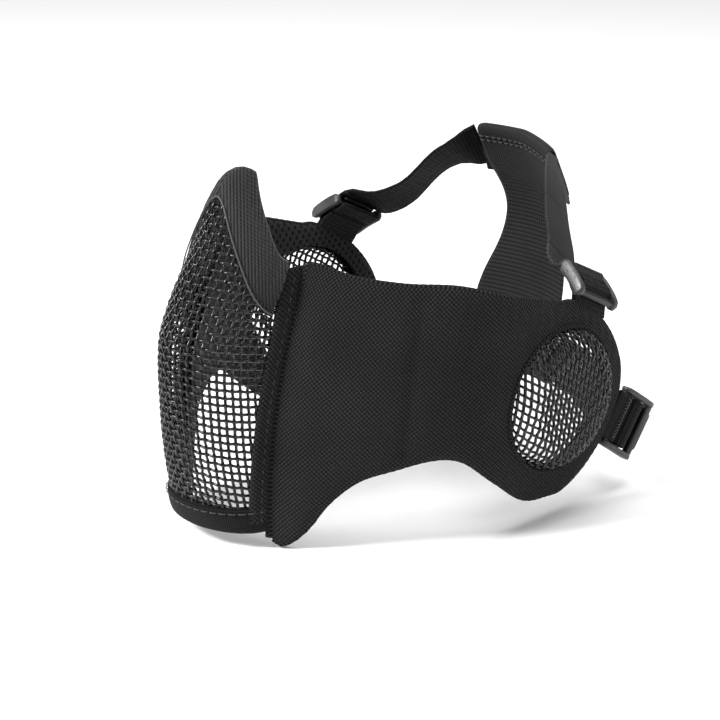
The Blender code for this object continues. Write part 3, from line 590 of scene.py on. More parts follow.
def row_drop(distance):
    return ROW_SLOPE * (sqrt(distance * distance + 0.008**2) - 0.008)


def front_wire_spot(u, v, sign):
    """Point and normal of a wire at cloth place (u, v), or None off the cloth."""
    z = v - row_drop(u)
    if not MESH_LOW_Z - 0.001 <= z <= MESH_NOSE_Z:
        return None
    phi = angle_at(u, z)
    if phi is None or z > front_top(phi) + 0.0004:
        return None
    normal = front_normal(phi, z)
    beat = cos(pi * u / WIRE_PITCH) * cos(pi * v / WIRE_PITCH)
    centre = front_point(phi, z) - normal * (MESH_T / 2)
    return centre + normal * (WIRE_WAVE * beat * sign), normal, WIRE_R * (1.0 + WIRE_SWELL * abs(beat))


def build_front_weave():
    shape = Shape()
    fine = WIRE_PITCH / 5
    reach, low, high = 0.054, MESH_LOW_Z, MESH_NOSE_Z + 0.008
    for k in range(int(-reach / WIRE_PITCH), int(reach / WIRE_PITCH) + 1):
        count = int((high - low) / fine)
        shape.wires([front_wire_spot(k * WIRE_PITCH, low + i * fine, 1) for i in range(count)])
    for k in range(int(low / WIRE_PITCH), int(high / WIRE_PITCH) + 3):
        count = int(2 * reach / fine)
        shape.wires([front_wire_spot(-reach + i * fine, k * WIRE_PITCH, -1) for i in range(count)])
    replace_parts(shape.piece("front_wire_cloth", "wire", "front_shell", fix_normals=False), "front_mesh")


NOSE_LAP, NOSE_REACH, SIDE_REACH = 0.0032, 0.0165, 0.0190
NOSE_DROOP, SIDE_DROOP, NOSE_END = radians(-52), radians(-6), radians(74)
NOSE_EDGE_HALF, NOSE_PAD_HALF = 0.0019, 0.0010       # half thickness at the edges, and more between them


def nose_frame(phi):
    """Edge of the wire cloth over the nose: point, direction onwards, and outward normal."""
    z = front_top(phi)
    normal = front_normal(phi, z)
    edge = front_point(phi, z) - normal * (MESH_T / 2)
    side = abs(sin(phi))
    ahead = Vector((0, 0.92 * cos(phi) + 0.26 * side, 0.36 * cos(phi) + 0.90 * side)).normalized()
    out = (normal - ahead * normal.dot(ahead)).normalized()
    up_mesh = (front_point(phi, z) - front_point(phi, z - 0.004)).normalized()
    return edge, up_mesh, ahead, out, normal


def nose_place(phi, along, out_by):
    """A point of the nose tape: on the cloth below its edge, and arching over the nose beyond it."""
    edge, up_mesh, ahead, out, normal = nose_frame(phi)
    if along <= 0:
        return edge + up_mesh * along + normal * out_by
    side = abs(sin(phi))
    first = atan2(up_mesh.dot(out), up_mesh.dot(ahead))
    bend = lerp(NOSE_DROOP, SIDE_DROOP, side) - first
    reach = lerp(NOSE_REACH, SIDE_REACH, side * side)
    angle = first + bend * along / NOSE_REACH
    arch = ahead * (sin(angle) - sin(first)) - out * (cos(angle) - cos(first))
    return edge + arch * (reach / bend) + (out * cos(angle) - ahead * sin(angle)) * out_by


def nose_section():
    """Outline of the padded nose band as (along, out) pairs, clear of the wire cloth inside."""
    outline = []
    for a in circle(26):
        along = lerp(-NOSE_LAP, NOSE_REACH, (1 - cos(a)) / 2)
        fat = NOSE_EDGE_HALF + NOSE_PAD_HALF * sin(pi * min(1.0, max(0.0, along / NOSE_REACH))) ** 0.8
        outline.append((along, fat * squarish(sin(a), 0.45)))
    return outline


def knit_place(point):
    """Cloth coordinates of the knit: its ribs stand upright and follow the band round."""
    return 0.62 * abs(point.x) + 0.78 * point.y, point.z


def build_nose_band():
    shape = Shape()
    section = nose_section()
    rings, uvs = [], []
    for i in range(121):
        phi = lerp(-NOSE_END, NOSE_END, i / 120)
        ring = []
        for along, out in section:
            point = nose_place(phi, along, out)
            rib = RIB_HEIGHT * abs(sin(pi * knit_place(point)[0] / RIB_PITCH))
            ring.append(nose_place(phi, along, out + (rib if out > 0 else -rib)))
        rings.append(ring)
        uvs.append([knit_place(p) for p in ring])
    shape.rings(rings, uvs)
    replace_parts(shape.piece("nose_band", "knit", "front_shell"), "nose_binding", "nose_foam")
    trim = Shape()
    for along, out in ((-NOSE_LAP + 0.0006, 0.0021), (NOSE_REACH - 0.0004, 0.0012)):
        angles = [lerp(-NOSE_END, NOSE_END, i / 90) for i in range(91)]
        path = [nose_place(phi, along, out) for phi in angles]
        trim.tube(path, [nose_frame(phi)[3] for phi in angles], 0.00030)
    trim.piece("nose_band_piping", "piping", "front_shell")


CHIN_LAP, CHIN_REACH, CHIN_HALF = 0.0075, 0.0030, 0.0023


def build_chin_binding():
    shape, seam = Shape(), Shape()
    outline = [(lerp(CHIN_REACH, -CHIN_LAP, (1 - cos(a)) / 2), CHIN_HALF * squarish(sin(a), 0.35))
               for a in circle(18)]
    rings, uvs, top_line, normals = [], [], [], []
    length = 0.0
    before = None
    for i in range(91):
        phi = lerp(-pi / 2, pi / 2, i / 90)
        normal = front_normal(phi, MESH_LOW_Z)
        edge = front_point(phi, MESH_LOW_Z) - normal * (MESH_T / 2)
        up = (front_point(phi, MESH_LOW_Z + 0.004) - front_point(phi, MESH_LOW_Z)).normalized()
        length += (edge - before).length if before else 0.0
        before = edge
        swell = 1.0 + 0.06 * noise.noise(Vector((length * 90, 0, 3.1)))
        rings.append([edge - up * a + normal * o * swell for a, o in outline])
        uvs.append([(length, a + (0.02 if o < 0 else 0)) for a, o in outline])
        top_line.append(edge + up * (CHIN_LAP - 0.0016) + normal * CHIN_HALF)
        normals.append(normal)
    shape.rings(rings, uvs)
    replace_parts(shape.piece("chin_tape", "tape", "front_shell"), "chin_binding")
    stitches(seam, top_line, normals)
    seam.piece("chin_tape_stitches", "thread", "front_shell")


HEM_W, HEM_T = 0.0072, 0.0016
HEM_TOP_W, HEM_TOP_Z = 0.0088, 0.0590


def hem_width(z):
    return lerp(HEM_W, HEM_TOP_W, smooth((z - 0.030) / 0.020))


def hem_spot(z, a, lift):
    """On the hem over the cloth's side edge: a runs from 0 at the seam to 1 at its front edge."""
    reach = hem_width(z) / (seam_y(z) - spline(RIDGE, z))
    return front_point(pi / 2 - reach * a, z, lift)


def build_hem(name, mirror):
    shape, seam = Shape(), Shape()
    low, high = MESH_LOW_Z + 0.0015, HEM_TOP_Z
    rings, uvs = [], []
    steps = 60
    for i in range(steps + 1):
        z = lerp(low, high, i / steps)
        ring, uv = [], []
        for t in circle(20):
            a = (1 - cos(t)) / 2
            crease = 0.0007 * max(0.0, 1 - abs(a - 0.42) / 0.10)
            pucker = 0.00010 * sin(z / 0.0035 * 2 * pi)
            if sin(t) > 0:
                out = (HEM_T + 0.0003) * sin(t) ** 0.4 - crease + pucker
            else:
                out = 0.0001
            ring.append(hem_spot(z, a * 1.02 - 0.02, out))
            uv.append((z, a * HEM_W))
        rings.append(ring)
        uvs.append(uv)
    shape.rings(rings, uvs)
    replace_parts(shape.piece(f"{name}_hem", "nylon", "front_shell", mirror), f"{name}_hem_strip")
    heights = [lerp(low, high, i / 40) for i in range(41)]
    line = [hem_spot(z, 0.40, HEM_T - 0.0003) for z in heights]
    out = [front_normal(pi / 2 - 0.05, z) for z in heights]
    stitches(seam, line, out)
    seam.piece(f"{name}_hem_stitches", "thread", "front_shell", mirror)


# ---- the cheek wings ----------------------------------------------------------------------------
WING_MID_Z = 0.010
EAR_FRONT_Y = -0.032
WING_TOP = [(0.000, 0.0605), (0.008, 0.0602), (0.024, 0.0575), (0.045, 0.0560),
            (0.068, 0.0550), (0.092, 0.0485), (0.121, 0.0400)]
WING_LOW = [(0.000, -0.0435), (0.006, -0.0475), (0.015, -0.0410), (0.023, -0.0300),
            (0.034, -0.0205), (0.047, -0.0160), (0.062, -0.0125), (0.073, -0.0145),
            (0.087, -0.0255), (0.104, -0.0375), (0.121, -0.0400)]


def ear_plane_x(y):
    return EAR_X + EAR_YAW * y


def wing_plan():
    """Plan curve of a wing at mid height, as (arc length, x, y) from the seam to behind the ear."""
    start = Vector((SEAM_X, seam_y(WING_MID_Z)))
    end = Vector((ear_plane_x(EAR_FRONT_Y), EAR_FRONT_Y))
    pull1 = start + Vector((0.021, 0.011))
    pull2 = end - Vector((EAR_YAW, 1.0)) * 0.026
    line = []
    for i in range(121):
        t = i / 120
        near = (1 - t)**3 * start + 3 * (1 - t)**2 * t * pull1
        far = 3 * (1 - t) * t * t * pull2 + t**3 * end
        line.append(near + far)
    for i in range(1, 41):
        y = lerp(EAR_FRONT_Y, LOBE_BACK + 0.0105, i / 40)
        line.append(Vector((ear_plane_x(y), y)))
    table, length = [(0.0, line[0].x, line[0].y)], 0.0
    for a, b in zip(line, line[1:]):
        length += (b - a).length
        table.append((length, b.x, b.y))
    return table


PLAN = wing_plan()
FRONT_SPAN = max(s for s, _, y in PLAN if y <= EAR_FRONT_Y + 1e-9)
EAR_S = FRONT_SPAN + hypot(EAR_FRONT_Y, EAR_FRONT_Y * EAR_YAW)


def wing_face(s, z):
    """A point on the wing's mid-face at arc length s from the seam and height z."""
    i = min(len(PLAN) - 2, max(0, sum(1 for row in PLAN if row[0] <= s) - 1))
    (s1, x1, y1), (s2, x2, y2) = PLAN[i], PLAN[i + 1]
    t = (s - s1) / (s2 - s1)
    x, y = lerp(x1, x2, t), lerp(y1, y2, t)
    loose = max(0.0, 1 - s / FRONT_SPAN)
    lean = EAR_LEAN * z * smooth(s / FRONT_SPAN)
    return Vector((x + lean, y + (seam_y(z) - seam_y(WING_MID_Z)) * loose**1.5, z))


def wing_normal(s, z):
    step = 1e-3
    along = wing_face(s + step, z) - wing_face(s - step, z)
    up = wing_face(s, z + step) - wing_face(s, z - step)
    return along.cross(up).normalized()


def wing_limits(s, inset):
    """Lowest and highest z of the wing at arc length s, drawn in by inset."""
    if s <= EAR_S:
        return spline(WING_LOW, s) + inset, spline(WING_TOP, s) - inset
    reach = min(1.0, (s - EAR_S) / (LOBE_BACK - inset))
    turn = sqrt(max(0.0, 1 - reach * reach))
    drop = LOBE_TILT * 2 * reach * turn
    half = (LOBE_HALF - inset) * turn
    return -half + drop, half - drop


def wing_columns(inset, step):
    start, end = SEAM_GAP + inset, EAR_S + LOBE_BACK - inset
    count = int((EAR_S - start) / step)
    flat = [lerp(start, EAR_S, i / count) for i in range(count)]
    turns = int(pi / 2 * LOBE_BACK / step)
    return flat + [EAR_S + (end - EAR_S) * sin(lerp(0, pi / 2, i / turns)) for i in range(turns + 1)]


EAR_NORMAL = wing_normal(EAR_S, 0.0)
EAR_CENTRE = wing_face(EAR_S - DOME_AHEAD, DOME_UP)
GRID_STEP, GRID_ROWS = 0.0030, 34
EDGE_INSET = 0.0003
PUFF_LIMIT = 0.0016                  # the simulation moves no point of a pad farther than this


def outline_gap(s, z):
    """Rough distance from (s, z) to the wing's outline."""
    low, high = wing_limits(s, EDGE_INSET)
    ends = min(s - SEAM_GAP, 0.05)
    sides = min(z - low, high - z)
    if s > EAR_S:
        lobe = (1 - hypot((s - EAR_S) / LOBE_BACK, z / LOBE_HALF)) * LOBE_BACK
        sides = min(max(sides, 0.0), max(lobe, 0.0))
    return max(0.0, min(ends, sides))


def wing_thickness(s, z):
    """Half the thickness of the pad before it is inflated."""
    t = min(1.0, outline_gap(s, z) / PAD_ROUND)
    thin = smooth((s - 0.001) / 0.014)
    return lerp(EDGE_T / 2, PAD_T / 2 - 0.0005, sqrt(1 - (1 - t)**2) * thin)


def pillow():
    """Closed pad: outer grid then inner grid, both over (s, z), with the outline row shared."""
    columns = wing_columns(EDGE_INSET, GRID_STEP)
    outer, inner, spots = [], [], []
    for s in columns:
        low, high = wing_limits(s, EDGE_INSET)
        for r in range(GRID_ROWS + 1):
            z = lerp(low, high, (1 - cos(pi * r / GRID_ROWS)) / 2)
            face, normal, half = wing_face(s, z), wing_normal(s, z), wing_thickness(s, z)
            outer.append(face + normal * half)
            inner.append(face - normal * half)
            spots.append((s, z))
    return columns, outer, inner, spots


def inflated(columns, outer, inner, spots):
    """Runs Cloth on the pad, its outline and the rim of the ear hole held, and gives the new points."""
    rows = GRID_ROWS + 1
    verts = outer + inner
    half = len(outer)
    faces = []
    for c in range(len(columns) - 1):
        for r in range(GRID_ROWS):
            a = c * rows + r
            faces.append((a, a + rows, a + rows + 1, a + 1))
            faces.append((half + a + 1, half + a + rows + 1, half + a + rows, half + a))
    rim = [c * rows + r for c, r in rim_indices(len(columns), rows)]
    for a, b in zip(rim, rim[1:] + rim[:1]):
        faces.append((a, b, half + b, half + a))
    mesh = bpy.data.meshes.new("pad_simulation")
    mesh.from_pydata(verts, [], faces)
    face_outwards(mesh)
    obj = new_object("pad_simulation", mesh)
    held = obj.vertex_groups.new(name="held")
    for i, (s, z) in enumerate(spots):
        ear = hypot(s - EAR_S + DOME_AHEAD, z - DOME_UP)
        edge = outline_gap(s, z)
        grip = max(1.0 - smooth(edge / 0.0035), 1.0 if ear < EAR_HOLE_R + 0.0012 else 0.0)
        grip = max(grip, 0.6 * (1 - smooth(abs(ear - EAR_HOLE_R) / 0.005)))
        if grip > 0:
            held.add([i, half + i], grip, "REPLACE")
    cloth = obj.modifiers.new("Cloth", "CLOTH")
    settings = cloth.settings
    settings.quality = 6
    settings.mass = 0.25
    settings.tension_stiffness = 12
    settings.compression_stiffness = 6
    settings.shear_stiffness = 4
    settings.bending_stiffness = 0.35
    settings.use_pressure = True
    settings.uniform_pressure_force = 5.0
    settings.shrink_min = -0.035
    settings.effector_weights.gravity = 0.0
    settings.vertex_group_mass = "held"
    scene = bpy.context.scene
    for number in range(1, 21):
        scene.frame_set(number)
    graph = bpy.context.evaluated_depsgraph_get()
    result = obj.evaluated_get(graph).to_mesh()
    moved = [v.co.copy() for v in result.vertices]
    scene.frame_set(1)
    bpy.data.objects.remove(obj, do_unlink=True)
    points = []
    for before, after in zip(verts, moved):
        step = after - before
        if step.length > PUFF_LIMIT:
            step = step.normalized() * PUFF_LIMIT
        points.append(before + step)
    return points[:half], points[half:]


def relief(s, z):
    """Form given on top of the simulation: the soft fold before the ear, puckers at the top edge."""
    high = wing_limits(s, EDGE_INSET)[1]
    inside = smooth(outline_gap(s, z) / 0.006)
    fold = -0.0011 * max(0.0, 1 - abs(s - 0.052 - 0.05 * (z - 0.02)) / 0.007) ** 2
    ripple = noise.noise(Vector((s * 60, z * 14, 1.7))) * 0.0005
    broad = noise.noise(Vector((s * 22, z * 22, 5.2))) * 0.0007
    near_top = max(0.0, 1 - (high - z) / 0.012)
    pucker = 0.00035 * sin(2 * pi * s / 0.0052) * near_top * inside
    return (fold + ripple + broad) * inside + pucker


def doubled(grid, rows):
    """Twice as fine a grid, by smooth interpolation along both ways."""
    cols = [grid[i:i + rows] for i in range(0, len(grid), rows)]

    def finer(line):
        out = []
        for i in range(len(line) - 1):
            a, b = line[max(i - 1, 0)], line[i]
            c, d = line[i + 1], line[min(i + 2, len(line) - 1)]
            out.append(b)
            out.append((b + c) * 0.5625 - (a + d) * 0.0625)
        out.append(line[-1])
        return out

    cols = [finer(col) for col in cols]
    across = [finer([col[r] for col in cols]) for r in range(len(cols[0]))]
    return [[across[r][c] for r in range(len(across))] for c in range(len(across[0]))]


def cut_ear_hole(obj, mirror):
    """Cuts the round hole of the ear dome through a cover or a lining."""
    bm = bmesh.new()
    bmesh.ops.create_cone(bm, cap_ends=True, segments=96, radius1=EAR_HOLE_R, radius2=EAR_HOLE_R, depth=0.06)
    bmesh.ops.transform(bm, matrix=ear_matrix(mirror), verts=bm.verts)
    bmesh.ops.recalc_face_normals(bm, faces=bm.faces)
    mesh = bpy.data.meshes.new("ear_cutter")
    bm.to_mesh(mesh)
    bm.free()
    tool = new_object("ear_cutter", mesh)
    mod = obj.modifiers.new("hole", "BOOLEAN")
    mod.operation = "DIFFERENCE"
    mod.object = tool
    bpy.context.view_layer.update()
    graph = bpy.context.evaluated_depsgraph_get()
    obj.data = bpy.data.meshes.new_from_object(obj.evaluated_get(graph))
    obj.modifiers.clear()
    bpy.data.objects.remove(tool, do_unlink=True)


def ear_matrix(mirror=False):
    """Turns a shape made about +Z to stand on the wing's face at the ear, in the row frame."""
    normal = flipped(EAR_NORMAL) if mirror else EAR_NORMAL
    centre = flipped(EAR_CENTRE) if mirror else EAR_CENTRE
    turn = Vector((0, 0, 1)).rotation_difference(normal).to_matrix().to_4x4()
    return Matrix.Translation(centre + HOME) @ turn


COVER_T, LINING_T = 0.0010, 0.0012
ROLL_HALF_W, ROLL_HALF_T = 0.0010, 0.00155           # the rolled edge between them


def closed_sheet(front, uvs, thick, normals):
    """A sheet with thickness, as a closed body between a grid and its copy moved along the normals."""
    shape = Shape()
    back = [[p - n * thick for p, n in zip(row, ns)] for row, ns in zip(front, normals)]
    shape.sheet(front, uvs)
    shape.sheet(back, uvs, flip=True)
    rows, cols = len(front), len(front[0])
    total = rows * cols
    rim = [r * cols + c for r, c in rim_indices(rows, cols)]
    for a, b in zip(rim, rim[1:] + rim[:1]):
        shape.faces.append((a, b, total + b, total + a))
        shape.slots.append(0)
    return shape


def build_wings():
    columns, outer, inner, spots = pillow()
    outer, inner = inflated(columns, outer, inner, spots)
    rows = GRID_ROWS + 1
    places = doubled([Vector((s, z, 0)) for s, z in spots], rows)
    normals = [[wing_normal(p.x, p.y) for p in row] for row in places]
    uvs = [[(p.x, p.y) for p in row] for row in places]
    lumps = [[relief(p.x, p.y) for p in row] for row in places]
    face = doubled(outer, rows)
    face = [[p + n * h for p, n, h in zip(*trio)] for trio in zip(face, normals, lumps)]
    back = doubled(inner, rows)
    back = [[p + n * h * 0.3 for p, n, h in zip(*trio)] for trio in zip(back, normals, lumps)]
    inward = [[-n for n in row] for row in normals]
    for name, mirror in SIDES:
        cover = closed_sheet(face, uvs, COVER_T, normals).piece(f"{name}_cover", "nylon", mirror=mirror)
        finish_wing_sheet(cover, name, mirror, f"{name}_cheek_cover", f"{name}_cheek_foam")
        lining = closed_sheet(back, uvs, LINING_T, inward)
        lining = lining.piece(f"{name}_lining", "lining", mirror=mirror)
        finish_wing_sheet(lining, name, mirror, f"{name}_cheek_lining")
        build_wing_edge(name, mirror, face, back, normals)
        build_ear_dome(name, mirror)


def finish_wing_sheet(obj, name, mirror, *nodes):
    cut_ear_hole(obj, mirror)
    obj.data.shade_smooth()
    obj.data.set_sharp_from_angle(angle=radians(50))
    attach(obj, f"{name}_wing")
    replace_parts(obj, *nodes)


def build_wing_edge(name, mirror, face, back, normals):
    """The rolled fabric edge that closes the wing between cover and lining."""
    rim = rim_indices(len(face), len(face[0]))[len(face[0]) - 1:] + [(0, 0)]
    middle = [(face[r][c] + back[r][c]) / 2 for r, c in rim]
    outs = [normals[r][c] for r, c in rim]
    kept = [0]
    for i in range(1, len(middle)):
        if (middle[i] - middle[kept[-1]]).length > 0.0008:
            kept.append(i)
    path = [middle[i] for i in kept]
    ups = [outs[i] for i in kept]
    shape = Shape()
    rings, uvs = [], []
    count = len(path)
    length = 0.0
    for i in range(count):
        tangent = (path[min(i + 1, count - 1)] - path[max(i - 1, 0)]).normalized()
        side = tangent.cross(ups[i]).normalized()
        length += (path[i] - path[i - 1]).length if i else 0.0
        wave = 1.0 + 0.07 * sin(2 * pi * i / count * round(count * 0.0021 / 0.0040))
        rings.append([path[i] + side * (cos(a) * ROLL_HALF_W * wave) + ups[i] * (sin(a) * ROLL_HALF_T * wave)
                      for a in circle(10)])
        uvs.append([(length, 0.0003 * k) for k in range(10)])
    shape.rings(rings, uvs)
    shape.piece(f"{name}_wing_edge", "nylon", f"{name}_wing", mirror)


# ---- the ear domes ------------------------------------------------------------------------------
EAR_ALONG = (Vector((EAR_YAW, 1, 0)) - EAR_NORMAL * Vector((EAR_YAW, 1, 0)).dot(EAR_NORMAL)).normalized()
EAR_UP = EAR_NORMAL.cross(EAR_ALONG)
DOME_REACH, DOME_SHOULDER, EAR_HEM_R = 0.0322, 0.002, 0.0011


def dome_curve(rho):
    """Radius, height and wall slope of the dome at cloth distance rho from its centre."""
    crown, top = DOME_FLAT_R - DOME_SHOULDER, PAD_T / 2 + DOME_H
    if rho <= crown:
        return rho, top, 0.0
    a = min(1.0, (rho - crown) / (DOME_REACH - crown)) * pi / 2
    wide, tall = EAR_HOLE_R - 0.0008 - crown, DOME_H + 0.0020
    return crown + wide * sin(a), top - tall * (1 - cos(a)), atan2(tall * sin(a), wide * cos(a))


def dome_spot(p, q, sign):
    """Point, normal and wire radius of the dome's cloth at cloth place (p, q)."""
    along = p * cos(DOME_ROW) * 1.02 + q * cos(DOME_COLUMN) * 1.14
    upward = p * sin(DOME_ROW) * 1.02 + q * sin(DOME_COLUMN) * 1.14
    rho = hypot(along, upward)
    if rho > DOME_REACH:
        return None
    theta = atan2(upward, along)
    radius, height, slope = dome_curve(rho)
    radial = EAR_ALONG * cos(theta) + EAR_UP * sin(theta)
    normal = EAR_NORMAL * cos(slope) + radial * sin(slope)
    beat = cos(pi * p / DOME_PITCH) * cos(pi * q / DOME_PITCH)
    centre = EAR_CENTRE + radial * radius + EAR_NORMAL * (height - MESH_T / 2)
    wire = (DOME_WARP_R if sign > 0 else DOME_WEFT_R) * (1 + DOME_SWELL * abs(beat))
    return centre + normal * (DOME_WAVE * beat * sign), normal, wire


def build_ear_dome(name, mirror):
    shape, ring = Shape(), Shape()
    fine = DOME_PITCH / 5
    wires = int(1.15 * DOME_REACH / DOME_PITCH)
    steps = int(1.15 * DOME_REACH / fine)
    line = [i * fine for i in range(-steps, steps + 1)]
    for k in range(-wires, wires + 1):
        fixed = k * DOME_PITCH
        shape.wires([dome_spot(fixed, t, 1) for t in line])
        shape.wires([dome_spot(t, fixed, -1) for t in line])
    dome = shape.piece(f"{name}_dome_wire_cloth", "wire", f"{name}_wing", mirror, fix_normals=False)
    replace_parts(dome, f"{name}_ear_dome")
    rings, uvs = [], []
    for a in circle(96):
        radial = EAR_ALONG * cos(a) + EAR_UP * sin(a)
        wave = 1 + 0.05 * sin(a * 34) + 0.05 * sin(a * 13 + 1.0)
        centre = EAR_CENTRE + radial * (EAR_HOLE_R + 0.0004) + EAR_NORMAL * (PAD_T / 2 - 0.0006)
        rings.append([centre + (radial * cos(b) + EAR_NORMAL * sin(b)) * EAR_HEM_R * wave
                      for b in circle(10)])
        uvs.append([(a * EAR_HOLE_R, 0.0007 * m) for m in range(10)])
    ring.rings(rings, uvs, closed=True)
    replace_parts(ring.piece(f"{name}_ear_hem", "nylon", f"{name}_wing", mirror), f"{name}_ear_ring")


# ---- webbing, tabs and buckles ------------------------------------------------------------------
def on_ear_plane(vector):
    return (vector - EAR_NORMAL * vector.dot(EAR_NORMAL)).normalized()


UP_BAR = on_ear_plane(Vector((0, 0.891, -0.454)))
LOW_BAR = on_ear_plane(Vector((0, -0.57, -0.82)))
UP_ROOT = Vector((0.0785, 0.0115, 0.0310))
LOW_ROOT = Vector((0.0737, 0.0260, -0.0110))
UP_OUT = UP_BAR.cross((UP_PIVOT - UP_ROOT).cross(UP_BAR)).normalized()
LOW_OUT = LOW_BAR.cross((LOW_PIVOT - LOW_ROOT).cross(LOW_BAR)).normalized()
UP_PULL = Matrix.Rotation(-BUCKLE_LEAN, 3, UP_BAR) @ UP_OUT
LOOP_R = BAR_T / 2 + 0.0014
WEB_RIBS, WEB_RIB_H = 14, 0.00010
UP_TAB, LOW_TAB = (0.0070, 0.0009), (0.0036, 0.0023)     # depth and half width of each tab's root
UP_INNER, UP_OUTER = 0.0052, 0.0064   # the upper buckle's end bars, from the bar that the tab holds
RAIL_W, RAIL_H, RAIL_BOW = 0.0026, 0.0054, 0.0007
BAR_SECTIONS = ((0.0030, 0.0026), (0.0027, 0.0025), (0.0036, 0.0032))


def web_section():
    """Outline of flat webbing with round edges and lengthwise ribs, as (across, out) pairs."""
    half, quarter = WEB_W / 2, WEB_T / 4
    top = []
    for k in range(WEB_RIBS * 2 + 1):
        w = lerp(half - 0.0003, -half + 0.0003, k / (WEB_RIBS * 2))
        top.append((w, WEB_T / 2 - (0 if k % 2 else WEB_RIB_H)))
    low = [(-w, -h) for w, h in top]
    return [(half, quarter)] + top + [(-half, quarter), (-half, -quarter)] + low + [(half, -quarter)]


def strap_frames(path, across, slanted=0.0):
    """Point, width direction, outward direction and running length at each point of a path.

    The first stretch, up to the length `slanted`, keeps its width direction although the strap runs
    off at a slant, as webbing does when it is pulled sideways through a buckle.
    """
    frames, length = [], 0.0
    last = len(path) - 1
    for i, point in enumerate(path):
        tangent = (path[min(i + 1, last)] - path[max(i - 1, 0)]).normalized()
        length += (point - path[i - 1]).length if i else 0.0
        square = smooth((length - slanted) / 0.010) if slanted else 1.0
        side = (across[i] - tangent * across[i].dot(tangent) * square).normalized()
        frames.append((point, side, tangent.cross(side).normalized(), length))
    return frames


def ribbon(frames):
    """Webbing through the given strap frames."""
    shape, outline = Shape(), web_section()
    rings = [[point + side * w + normal * h for w, h in outline] for point, side, normal, _ in frames]
    uvs = [[(length, w) for w, h in outline] for _, _, _, length in frames]
    shape.rings(rings, uvs)
    return shape


def finer_path(path, widths, step=0.0012):
    """The same path and width vectors with points about one step apart."""
    new_path, new_widths = [], []
    for i in range(len(path) - 1):
        a, b = path[max(i - 1, 0)], path[i]
        c, d = path[i + 1], path[min(i + 2, len(path) - 1)]
        count = max(1, int((c - b).length / step))
        for k in range(count):
            t = k / count
            bend, twist = a * 2 - b * 5 + c * 4 - d, b * 3 - a - c * 3 + d
            new_path.append(0.5 * (b * 2 + (c - a) * t + bend * t**2 + twist * t**3))
            new_widths.append(widths[i].lerp(widths[i + 1], t).normalized())
    return new_path + [path[-1]], new_widths + [widths[-1]]


def loop_tab(pivot, out, bar, root_depth, root_half):
    """Path of webbing folded round a bar: out from the wing's edge, round the bar and back."""
    across = bar.cross(out)
    legs = [pivot - out * lerp(root_depth, 0.0, i / 4) for i in range(5)]
    pinch = [lerp(root_half, LOOP_R, smooth((i / 4 - 0.35) / 0.65)) for i in range(5)]
    going = [p + across * w for p, w in zip(legs, pinch)]
    bend = [pivot + (across * cos(a) + out * sin(a)) * LOOP_R for a in (pi * k / 6 for k in range(1, 6))]
    coming = [p - across * w for p, w in zip(reversed(legs), reversed(pinch))]
    return going + bend + coming


def build_tab(level, pivot, out, bar, tab):
    path = loop_tab(pivot, out, bar, *tab)
    path, widths = finer_path(path, [bar] * len(path), 0.0008)
    tangent_in = (path[0] - path[1]).normalized()
    tangent_out = (path[-1] - path[-2]).normalized()
    path = [path[0] + tangent_in * 0.003] + path + [path[-1] + tangent_out * 0.003]
    widths = [bar] + widths + [bar]
    web, seam = ribbon(strap_frames(path, widths)), Shape()
    seam.tube(*tab_stitching(path, bar), THREAD_R, sides=5)
    for name, mirror in SIDES:
        piece = web.piece(f"{name}_{level}_web_tab", "webbing", f"{name}_wing", mirror)
        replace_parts(piece, f"{name}_{level}_tab")
        seam.piece(f"{name}_{level}_tab_stitching", "pale_thread", f"{name}_wing", mirror)


def tab_stitching(path, bar):
    """A zigzag of thread across the outer leg of a tab."""
    spot = path[5]
    tangent = (path[6] - path[4]).normalized()
    normal = tangent.cross(bar).normalized()
    line, ups = [], []
    for k in range(25):
        across = bar * lerp(-0.0085, 0.0085, k / 24)
        along = tangent * (0.0009 if k % 2 else -0.0009)
        line.append(spot + across + along - normal * (WEB_T / 2 + 0.0001))
        ups.append(-normal)
    return line, ups


def rounded_loop(centre, side, up, wide, tall, power, count):
    """One ring of `count` points with a rounded-rectangle outline; a lower power is squarer."""
    return [centre + side * (squarish(cos(a), power) * wide / 2) + up * (squarish(sin(a), power) * tall / 2)
            for a in circle(count)]


def rounded_bar(shape, start, end, up, wide, tall):
    """A straight bar with a rounded-rectangle section and softly rounded ends."""
    along = (end - start).normalized()
    side = along.cross(up).normalized()
    ends = ((0.0, 0.70), (0.0005, 0.90), (0.0012, 1.0))
    rings = [(start + along * f, shrink) for f, shrink in ends]
    rings.append(((start + end) / 2, 1.0))
    rings += [(end - along * f, shrink) for f, shrink in reversed(ends)]
    shape.rings([rounded_loop(centre, side, up, wide * shrink, tall * shrink, 0.6, 24)
                 for centre, shrink in rings])


def side_rail(shape, rail, sign, bar, face, pull, first, last):
    """One curved side plate of a buckle, standing on `rail` and running along `pull`."""
    rings = []
    for i in range(13):
        t = i / 12
        reach = lerp(first - BAR_T / 2 - 0.0004, last + BAR_T / 2 + 0.0006, t)
        bow = RAIL_BOW * sin(pi * t)
        end = sqrt(max(0.0, 1 - (2 * t - 1) ** 8))
        wide, tall = RAIL_W * lerp(0.72, 1.0, end), RAIL_H * lerp(0.55, 1.0, end)
        centre = rail - bar * (sign * 0.0001) + face * bow + pull * reach
        rings.append(rounded_loop(centre, bar, face, wide, tall, 0.55, 20))
    shape.rings(rings, slot=1)


